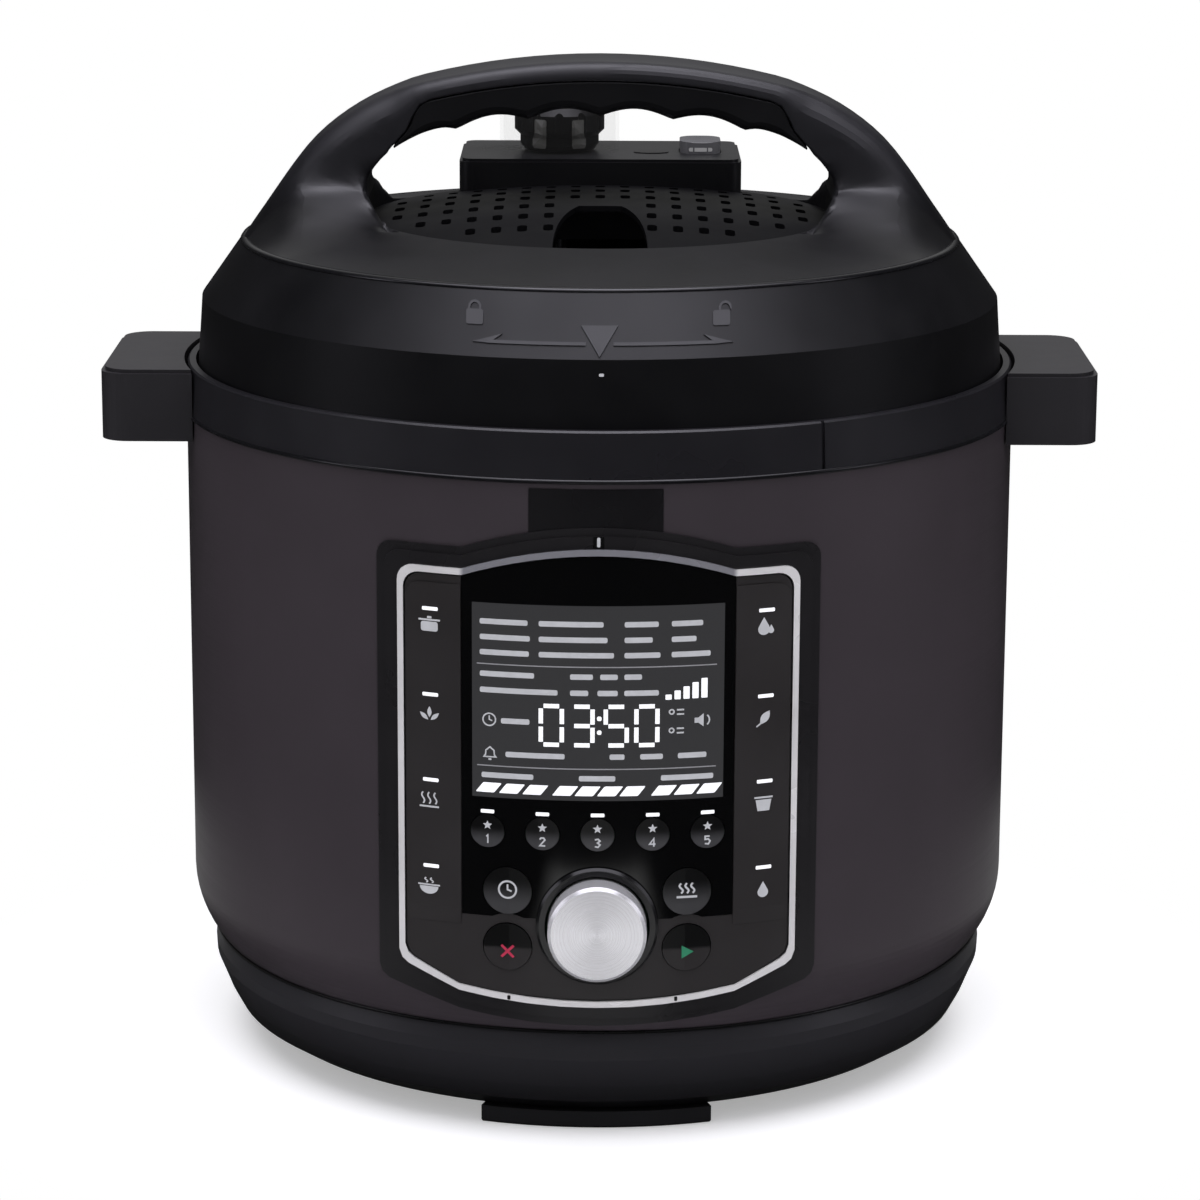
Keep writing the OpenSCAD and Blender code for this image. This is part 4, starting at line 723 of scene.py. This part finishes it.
def add_soft_grip():
    """The grip once more, with its ends moved like the legs, and dark backings in the seams between them."""
    mesh = nodes["handle_grip"].data.copy()
    mesh.name = "handle_grip_soft"
    places = places_of(mesh.vertices)
    open_corners(places)
    move_to(mesh.vertices, places)
    piece = add_piece("handle_grip_soft", mesh, "lid", "grip")
    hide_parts("handle_grip")
    outline = [(x + BACKING_OUT, z) for x, z in SEAM_LINE]
    outline += [(x - BACKING_IN, z) for x, z in reversed(SEAM_LINE)]
    count = len(outline)
    faces = [[i, (i + 1) % count, count + (i + 1) % count, count + i] for i in range(count)]
    faces += [list(range(count)), list(range(2 * count - 1, count - 1, -1))]
    for side, name in ((-1, "grip_backing_left"), (1, "grip_backing_right")):
        places = np.array([(side * x, y, z) for y in (-BACKING_HALF, BACKING_HALF) for x, z in outline],
                          dtype=float)
        open_corners(places)
        solid(name, [Vector(place) * MM for place in places], faces, "lid", "housing_dark")


def add_springs():
    """The two springs once more, each on its body with a mesh of its own."""
    for node, body, joint, travel in (("button_spring", "lid", "button_press", 4.0),
                                      ("sensor_spring", "cooker", "sensor_press", 2.0)):
        mesh = nodes[node].data.copy()
        mesh.name = node + "_coil"
        piece = add_piece(node + "_coil", mesh, body, "wire")
        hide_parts(node)
        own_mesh(piece)


def add_edge_lines():
    """Glossy beads on the ring's lower edge and the lid's shoulder, and a dark ring of painted shadow in the
    seam over the base.
    """
    lathe("ring_edge", RING_EDGE, "cooker", "bead")
    lathe("shoulder_edge", SHOULDER_EDGE, "lid", "bead")
    lathe("base_seam_shadow", BASE_SEAM_SHADOW, "cooker", "housing_dark")


# ---- flat shapes, drawn in millimetres

MARK_STEP = 2.0     # longest edge of a mark, so that it follows a curved face


def inside(points, x, z):
    """Whether a point lies within a closed outline."""
    crossings = 0
    for (xa, za), (xb, zb) in zip(points, points[1:] + points[:1]):
        if (za > z) != (zb > z) and x < xa + (z - za) * (xb - xa) / (zb - za):
            crossings += 1
    return crossings % 2 == 1


def cut_line(points, closed):
    """A line with its long edges cut into steps."""
    line = []
    ends = points[1:] + points[:1] if closed else points[1:]
    for (xa, za), (xb, zb) in zip(points, ends):
        count = max(1, int(hypot(xb - xa, zb - za) / MARK_STEP))
        line += [(xa + (xb - xa) * i / count, za + (zb - za) * i / count) for i in range(count)]
    return line if closed else line + [points[-1]]


def filled(points):
    """A filled outline as points and faces, cut finely enough to follow a curved face."""
    rim = cut_line(points, True)
    xs, zs = zip(*points)
    grid = [(min(xs) + MARK_STEP * (i + 0.5), min(zs) + MARK_STEP * (j + 0.5))
            for i in range(int((max(xs) - min(xs)) / MARK_STEP))
            for j in range(int((max(zs) - min(zs)) / MARK_STEP))]
    spots = [Vector(p) for p in rim + [p for p in grid if inside(points, *p)]]
    verts, _, faces, *_ = delaunay_2d_cdt(spots, [], [list(range(len(rim)))], 1, 1e-4)
    return [tuple(v) for v in verts], [list(face) for face in faces]


def stroke(points, width, closed=False):
    """A line of even width as points and faces."""
    line = cut_line(points, closed)
    count = len(line)
    verts = []
    for i, (x, z) in enumerate(line):
        before = line[i - 1] if i or closed else line[i]
        after = line[(i + 1) % count] if i < count - 1 or closed else line[i]
        into = Vector((x - before[0], z - before[1])).normalized() if before != line[i] else None
        out = Vector((after[0] - x, after[1] - z)).normalized() if after != line[i] else None
        along = ((into or out) + (out or into)).normalized()
        lean = max(0.5, along.dot(into or out))
        reach = width / 2 / lean
        verts += [(x - along.y * reach, z + along.x * reach), (x + along.y * reach, z - along.x * reach)]
    spans = count if closed else count - 1
    faces = [[2 * i + 1, 2 * ((i + 1) % count) + 1, 2 * ((i + 1) % count), 2 * i] for i in range(spans)]
    return verts, faces


def arc(x, z, r, start, end, count, squash=1.0):
    """Points on an arc, angles in degrees."""
    turns = [radians(start + (end - start) * i / count) for i in range(count + 1)]
    return [(x + r * cos(a), z + r * squash * sin(a)) for a in turns]


def disc(x, z, r, squash=1.0):
    return filled(arc(x, z, r, 0, 330, 11, squash))


def circle(x, z, r, width):
    return stroke(arc(x, z, r, 0, 345, 23), width, closed=True)


def block(x, z, w, h, r=None, slant=0.0):
    """A rounded bar with its centre at x, z; its top leans to the right by `slant`."""
    r = min(w, h) * 0.3 if r is None else r
    points = []
    for corner_x, corner_z, start in ((1, 1, 0), (-1, 1, 90), (-1, -1, 180), (1, -1, 270)):
        points += arc(corner_x * (w / 2 - r), corner_z * (h / 2 - r), r, start, start + 90, 3)
    return filled([(x + px + slant * pz / h, z + pz) for px, pz in points])


def turned(shape, angle, x=0.0, z=0.0):
    """A shape turned by an angle in degrees and moved."""
    verts, faces = shape
    c, s = cos(radians(angle)), sin(radians(angle))
    return [(x + px * c - pz * s, z + px * s + pz * c) for px, pz in verts], faces


def placed(shapes, x, z, size=1.0):
    return [([(x + px * size, z + pz * size) for px, pz in verts], faces) for verts, faces in shapes]


# ---- pictograms about 8 mm across

def wave(x, low, high, width=0.6):
    count = 8
    return stroke([(x + 0.55 * sin(2 * pi * i / count), low + (high - low) * i / count)
                   for i in range(count + 1)], width)


def teardrop(x, z, r, tip):
    return filled(arc(x, z, r, 150, 390, 10) + [(x, z + tip)])


def lens(length, width):
    """A leaf or a grain that lies along z."""
    side = [(width / 2 * sin(pi * i / 6), length * (i / 6 - 0.5)) for i in range(7)]
    return filled(side + [(-px, pz) for px, pz in side[-2:0:-1]])


def pot_icon():
    return [block(0, -1.3, 6.6, 3.8, 0.9), stroke([(-4.2, 1.3), (4.2, 1.3)], 0.7), block(0, 2.3, 1.8, 0.9)]


def grain_icon():
    grains = ((0, 0, 1), (48, -2.1, -0.7), (-48, 2.1, -0.7))
    return [turned(lens(4.4, 1.7), angle, x, z) for angle, x, z in grains]


def steam_icon():
    return [wave(x, -1.6, 3.0) for x in (-2.4, 0, 2.4)] + [stroke([(-3.8, -2.7), (3.8, -2.7)], 0.7)]


def bowl_icon():
    return [filled(arc(0, 0, 3.7, 180, 360, 12, 0.85)), stroke([(-4.3, 0.6), (4.3, 0.6)], 0.6),
            wave(-1.1, 1.4, 3.4, 0.5), wave(1.1, 1.4, 3.4, 0.5)]


def drop_icon():
    return [teardrop(0, -1, 2.1, 4.4)]


def flame_icon():
    return [teardrop(-0.2, -1, 2.3, 4.8), teardrop(2.6, -1.7, 1.1, 2.4)]


def leaf_icon():
    return [turned(lens(6.4, 3.2), -35, 0.4, 0.4), stroke([(-2.9, -3.1), (-1.3, -1.9)], 0.6)]


def cup_icon():
    return [filled([(-2.3, -3), (2.3, -3), (3.1, 1.5), (-3.1, 1.5)]), stroke([(-3.6, 2.4), (3.6, 2.4)], 0.7)]


def clock_icon():
    return [circle(0, 0, 2.7, 0.6), stroke([(0, 1.7), (0, 0), (1.3, -0.5)], 0.55)]


def warm_icon():
    return [wave(x, -0.9, 2.3) for x in (-1.8, 0, 1.8)] + [stroke([(-3.2, -2.1), (3.2, -2.1)], 0.7)]


def stop_icon():
    return [stroke([(-1.9, -1.9), (1.9, 1.9)], 0.8), stroke([(-1.9, 1.9), (-0.3, 0.3)], 0.8),
            stroke([(0.3, -0.3), (1.9, -1.9)], 0.8)]


def play_icon():
    return [filled([(-1.5, -2.1), (2.3, 0), (-1.5, 2.1)])]


def bell_icon():
    rim = [(-2.2, -1.4), (-1.6, -0.6), (-1.5, 1), (0, 2.3), (1.5, 1), (1.6, -0.6), (2.2, -1.4)]
    return [stroke(rim, 0.5, closed=True), block(0, -2.3, 1.1, 0.7)]


def sound_icon():
    return [filled([(-2.6, -0.9), (-1.3, -0.9), (0.5, -2.3), (0.5, 2.3), (-1.3, 0.9), (-2.6, 0.9)]),
            stroke(arc(0.3, 0, 2.2, -50, 50, 6), 0.5)]


def padlock_icon(is_open):
    lean = 1.2 if is_open else 0.0
    shackle = arc(lean, 1.2, 1.7, 0, 180, 8)
    return [block(0, -1.4, 5.2, 4.2, 0.6),
            stroke([(lean + 1.7, 0.2 + lean)] + shackle + [(lean - 1.7, 0.2)], 0.7)]


def star_icon():
    r = 1.5
    points = []
    for i in range(10):
        reach = r if i % 2 == 0 else r * 0.45
        points.append((reach * sin(pi * i / 5), reach * cos(pi * i / 5)))
    return [filled(points[::-1])]


DIGIT_LINES = {
    "1": [(-0.4, 0.8), (0.1, 1.3), (0.1, -1.3)],
    "2": [(-0.8, 0.8), (-0.4, 1.3), (0.4, 1.3), (0.8, 0.7), (-0.8, -1.2), (0.9, -1.2)],
    "3": [(-0.8, 1.1), (0.2, 1.3), (0.8, 0.7), (0, 0.1), (0.8, -0.5), (0.2, -1.3), (-0.8, -1.1)],
    "4": [(0.4, -1.3), (0.4, 1.3), (-0.9, -0.5), (0.9, -0.5)],
    "5": [(0.7, 1.2), (-0.7, 1.2), (-0.7, 0.2), (0.3, 0.3), (0.8, -0.4), (0.3, -1.3), (-0.8, -1.1)],
}

# Seven segments: top, upper and lower right, bottom, lower and upper left, middle
SEGMENTS = {"0": "abcdef", "3": "abcdg", "5": "acdfg"}


def segment_digit(figure, x, z, w, h, width):
    half_w, half_h, gap = (w - width) / 2, (h - width) / 2, width * 0.62
    ends = {
        "a": ((-half_w + gap, half_h), (half_w - gap, half_h)),
        "b": ((half_w, half_h - gap), (half_w, gap * 0.6)),
        "c": ((half_w, -gap * 0.6), (half_w, -half_h + gap)),
        "d": ((-half_w + gap, -half_h), (half_w - gap, -half_h)),
        "e": ((-half_w, -gap * 0.6), (-half_w, -half_h + gap)),
        "f": ((-half_w, half_h - gap), (-half_w, gap * 0.6)),
        "g": ((-half_w + gap, 0), (half_w - gap, 0)),
    }
    return placed([stroke(list(ends[name]), width) for name in SEGMENTS[figure]], x, z)


# ---- laying shapes on faces

def round_face(radius):
    """Places on an upright cylinder about the pot's axis, seen from the front."""
    def place(x, z, lift):
        r = radius + lift * MM
        return Vector((x * MM, -sqrt(r * r - (x * MM) ** 2), z * MM))
    return place


def face_of(node, start, towards):
    """Places on a CAD node's surface, met along the direction `towards`."""
    data = nodes[node].data
    tree = BVHTree.FromPolygons([v.co for v in data.vertices], [p.vertices for p in data.polygons])

    def place(a, b, lift):
        origin = Vector((a * MM, start, b * MM)) if towards.y else Vector((a * MM, b * MM, start))
        hit, normal, *_ = tree.ray_cast(origin, towards)
        return hit + normal * lift * MM
    return place


def relief(name, shapes, place, body, material, lift=0.03, height=0.05):
    """Flat shapes laid on a face as thin closed solids that ride on a body."""
    verts, faces = [], []
    for points, cells in shapes:
        low, high = len(verts), len(verts) + len(points)
        for level in (lift, lift + height):
            verts += [place(x, z, level) for x, z in points]
        faces += [[high + i for i in cell] for cell in cells]
        faces += [[low + i for i in reversed(cell)] for cell in cells]
        # Side walls stand on the steps that only one face has
        steps = {(a, b) for cell in cells for a, b in zip(cell, cell[1:] + cell[:1])}
        faces += [[low + a, low + b, high + b, high + a] for a, b in sorted(steps) if (b, a) not in steps]
    return solid(name, verts, faces, body, material)


# ---- control panel

GLOSS_HALF = 42.0       # half the width of the panel's glossy middle
FILM_LOW = 73.0         # lower end of the side films, where they run out into the surround
FILM_FADE = 5.0
FILM_TOP_DROP = 2.6     # the side films end this far under the surround's highest point
FILM_CORNER = 4.8
FILM_LIFT, FILM_HEIGHT = 0.03, 0.1
SIDE_ICONS = (
    (-51.9, 168.6, pot_icon), (-52.0, 139.6, grain_icon), (-52.2, 112.2, steam_icon),
    (-52.4, 84.2, bowl_icon), (51.0, 168.0, flame_icon), (51.2, 138.8, leaf_icon),
    (51.4, 111.6, cup_icon), (51.6, 83.6, drop_icon),
)
SIDE_ICON_SIZE = 0.8
SIDE_LAMPS_Z = (173.2, 146.0, 118.7, 90.9)
SIDE_LAMP_X = 51.7
SIDE_LAMP = (4.9, 1.15, 0.3)            # width, height and corner
PRESET_LAMP = (110.2, 4.2, 1.15, 0.3)   # z, width, height and corner
ROUND_LAMP = (91.4, 5.9, 1.25, 0.3)
STAR_RISE, DIGIT_DROP = 1.9, 2.6
ROUND_KEYS = (
    ("key_delay", clock_icon, "print", 0.4), ("key_warm", warm_icon, "print", 0.4),
    ("key_cancel", stop_icon, "red_print", -1.4), ("key_start", play_icon, "green_print", -1.4),
)
LIT_ROUND_KEYS = ("key_delay", "key_warm")
PRESETS = range(1, 6)


def middle(node):
    low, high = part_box(node)
    return (low.x + high.x) / 2 / MM, (low.z + high.z) / 2 / MM


def front_radius(node):
    """Radius of a node's curved front face about the pot's axis."""
    return max(hypot(v.co.x, v.co.y) for v in nodes[node].data.vertices)


def front_of(node):
    return round_face(front_radius(node))


def add_panel_film():
    """One matt film over each side of the panel, under which the program keys don't show."""
    radius = front_radius("key_program_1")
    _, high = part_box("panel_surround")
    inner, outer, top = GLOSS_HALF + 0.3, high.x / MM - 0.2, high.z / MM - FILM_TOP_DROP
    outline = [(inner, FILM_LOW), (outer, FILM_LOW)]
    outline += arc(outer - FILM_CORNER, top - FILM_CORNER, FILM_CORNER, 0, 90, 5)
    outline.append((inner, top))
    rise = front_radius("panel_surround") - radius

    def place(x, z, lift):
        sink = min(1.0, max(0.0, (FILM_LOW + FILM_FADE - z) / FILM_FADE))
        return round_face(radius + rise * sink)(x, z, lift)
    for side, name in ((-1, "panel_film_left"), (1, "panel_film_right")):
        points = [(side * x, z) for x, z in outline]
        relief(name, [filled(points[::side])], place, "cooker", "surround", FILM_LIFT, FILM_HEIGHT)
    return radius + (FILM_LIFT + FILM_HEIGHT) * MM


def add_side_marks(radius):
    face = round_face(radius)
    icons = [shape for x, z, icon in SIDE_ICONS for shape in placed(icon(), x, z, SIDE_ICON_SIZE)]
    # The printed icons glow: painted light.
    relief("program_icons", icons, face, "cooker", "print")
    lamps = [block(side * SIDE_LAMP_X, z, *SIDE_LAMP) for side in (-1, 1) for z in SIDE_LAMPS_Z]
    relief("program_lamps", lamps, face, "cooker", "lamp")


def add_key_marks():
    # The printed marks on the keys glow: painted light.
    for i in PRESETS:
        node = f"key_preset_{i}"
        x, z = middle(node)
        digit = stroke(DIGIT_LINES[str(i)], 0.5)
        shapes = placed(star_icon(), x, z + STAR_RISE) + placed([digit], x, z - DIGIT_DROP)
        relief(f"preset_mark_{i}", shapes, front_of(node), node, "print")
    for node, icon, material, rise in ROUND_KEYS:
        x, z = middle(node)
        relief(node + "_mark", placed(icon(), x, z + rise), front_of(node), node, material)
    lamps = [block(middle(f"key_preset_{i}")[0], *PRESET_LAMP) for i in PRESETS]
    lamps += [block(middle(node)[0], *ROUND_LAMP) for node in LIT_ROUND_KEYS]
    relief("panel_lamps", lamps, front_of("panel_face"), "cooker", "lamp")


# Rows of the display: z, then the ends of each field
DISPLAY_ROWS = (
    (170.6, ((-36.3, -21.6), (-18.2, 1.6), (8.0, 18.4), (22.4, 32.0))),
    (165.7, ((-36.3, -20.9), (-18.2, 2.8), (8.0, 16.6), (22.4, 30.0))),
    (160.9, ((-36.3, -21.2), (-18.2, 4.8), (8.0, 19.0), (22.4, 34.4))),
    (154.1, ((-36.3, -19.6), (-8.6, -1.6), (0.6, 6.0), (8.0, 13.4))),
    (149.0, ((-36.3, -12.4), (-8.6, -3.0), (-0.2, 6.0), (8.0, 18.6))),
    (139.4, ((-29.8, -21.0),)),
    (128.8, ((-28.4, -10.2), (3.6, 8.2), (13.0, 20.0), (24.6, 33.4))),
    (121.9, ((-35.8, -19.8), (-5.8, 5.4), (19.4, 35.6))),
)
FIELD_H = 1.7
CLOCK = (("0", -14.3), ("3", -4.9), ("5", 5.6), ("0", 15.0))
CLOCK_Z = 138.65
FIGURE = (7.8, 13.6, 1.35)      # width, height and line of a clock figure
COLON_X, COLON_Z = 0.4, (141.0, 136.6)
STAGE_Z = 117.9
STAGES = ((3, -33.6, 7.2), (4, -10.0, 6.9), (3, 20.4, 7.0))     # count, first x and pitch of the slanted bars
RULES_Z = (157.2, 124.9)


def add_display():
    """Neutral fields in place of words, a clock time, and the bars of the cooking stages."""
    face = front_of("display_window")
    dim, bright = [], []
    for z, fields in DISPLAY_ROWS:
        for start, end in fields:
            dim.append(block((start + end) / 2, z, end - start, FIELD_H, 0.5))
    for figure, x in CLOCK:
        bright += segment_digit(figure, x, CLOCK_Z, *FIGURE)
    bright += [block(COLON_X, z, 1.4, 1.4, 0.5) for z in COLON_Z]
    for count, start, pitch in STAGES:
        bright += [block(start + pitch * i, STAGE_Z, 5.7, 3.1, 0.3, slant=2.4) for i in range(count)]
    # Level bars, each taller than the one before
    bright += [block(21.6 + 2.75 * i, 147.0 + 0.62 * i + 0.5, 1.9, 1.6 + 1.15 * i, 0.2) for i in range(5)]
    dim += placed(clock_icon(), -33.4, 139.6, 0.72) + placed(bell_icon(), -33.2, 128.9, 0.85)
    dim += placed(sound_icon(), 32.0, 139.8, 0.9)
    dim += [circle(22.6, 142.8, 0.7, 0.45), circle(22.6, 136.9, 0.7, 0.45)]
    dim += [stroke([(24.2, z), (26.4, z)], 0.5) for z in (143.4, 142.0, 137.5, 136.1)]
    rules = [stroke([(-37.2, z), (36.4, z)], 0.35) for z in RULES_Z]
    relief("display_fields", dim, face, "cooker", "print")
    relief("display_figures", bright, face, "cooker", "lamp")
    relief("display_rules", rules, face, "cooker", "dim_print")


# ---- shell and lid marks

THIN = (0.02, 0.1)      # lift and height of a thin mark on its face
ROOT = -0.05            # raised marks start a little below the face


def add_shell_marks():
    """Bare dark plate over the panel, the bezel's notch with its status lamp, and the trim's joints."""
    plate = block(-0.9, 205.2, 41.0, 14.2, 0.4)
    notch = block(0, 195.6, 3.4, 4.6, 0.6)
    lamp = block(0, 196.2, 1.0, 3.0, 0.4)
    joints = [block(x, 50.4, 1.0, 1.4) for x in (-27.4, 24.6)]
    bezel = front_of("panel_bezel")
    relief("front_plate", [plate], front_of("outer_shell"), "cooker", "plate", 0.02, 0.25)
    relief("bezel_notch", [notch], bezel, "cooker", "housing_dark", *THIN)
    relief("status_lamp", [lamp], bezel, "cooker", "print", 0.15, 0.1)
    relief("trim_joints", joints, front_of("panel_trim"), "cooker", "housing_dark", *THIN)


def add_lid_marks():
    """Marks on the lid's cone and skirt, a dark disc of painted shade on the valve housing, and painted
    highlights behind it: a bright edge on the release button and bars on the steam valve.
    """
    backwards, down = Vector((0, 1, 0)), Vector((0, 0, -1))
    cone = face_of("lid_cover", -1.0, backwards)
    pointer = filled([(-5.6, 260.2), (0, 251.6), (5.6, 260.2)])
    arrow = [stroke([(-34.5, 255.2), (-4.2, 255.2)], 0.9), stroke([(4.2, 255.2), (36.5, 255.2)], 0.9),
             filled([(-38.5, 255.0), (-33.5, 254.8), (-29.5, 257.4)]),
             filled([(40.5, 255.0), (31.5, 257.4), (35.5, 254.8)])]
    padlocks = placed(padlock_icon(False), -38, 263.2) + placed(padlock_icon(True), 37, 263.2)
    # The raised marks are lighter than the lid: painted highlight.
    relief("lid_pointer", [pointer], cone, "lid", "lid_mark", ROOT, 0.55)
    relief("lid_arrow", arrow, cone, "lid", "lid_mark", ROOT, 0.45)
    relief("lid_padlocks", padlocks, cone, "lid", "lid_mark", ROOT, 0.35)
    top = face_of("valve_housing", 1.0, down)
    # A dark disc on the valve housing's top: painted shade of a shallow oval recess.
    relief("dark_plastic_and_painted_shade", [disc(17.5, 62.0, 6.0, 0.55)], top, "lid", "housing_dark", 0.02, 0.3)
    button = face_of("release_button", -1.0, backwards)
    # A bright bar along the release button's front edge: painted highlight.
    edge = block(34.5, 290.9, 8.0, 1.3, 0.5)
    relief("button_painted_highlight", [edge], button, "release_button", "switch", *THIN)
    valve = face_of("steam_valve", -1.0, backwards)
    # Two light grey bars on the valve's front: painted highlights of its ribs.
    bars = [block(x, 296.6, 4.4, 9.6, 0.6) for x in (-20.6, -7.8)]
    relief("valve_painted_glints", bars, valve, "steam_valve", "valve_glint_paint", 0.7, 0.2)
    # The printed mark under the pointer glows: painted light.
    relief("skirt_mark", [block(0.6, 246.4, 1.5, 0.9, 0.3)], cone, "lid", "print", *THIN)


add_camera()
add_world()
add_floor()
add_lights()
dress_nodes()
add_soft_lid()
add_soft_grip()
add_springs()
add_edge_lines()
add_side_marks(add_panel_film())
add_key_marks()
add_display()
add_shell_marks()
add_lid_marks()
bpy.context.scene.view_settings.view_transform = "Standard"
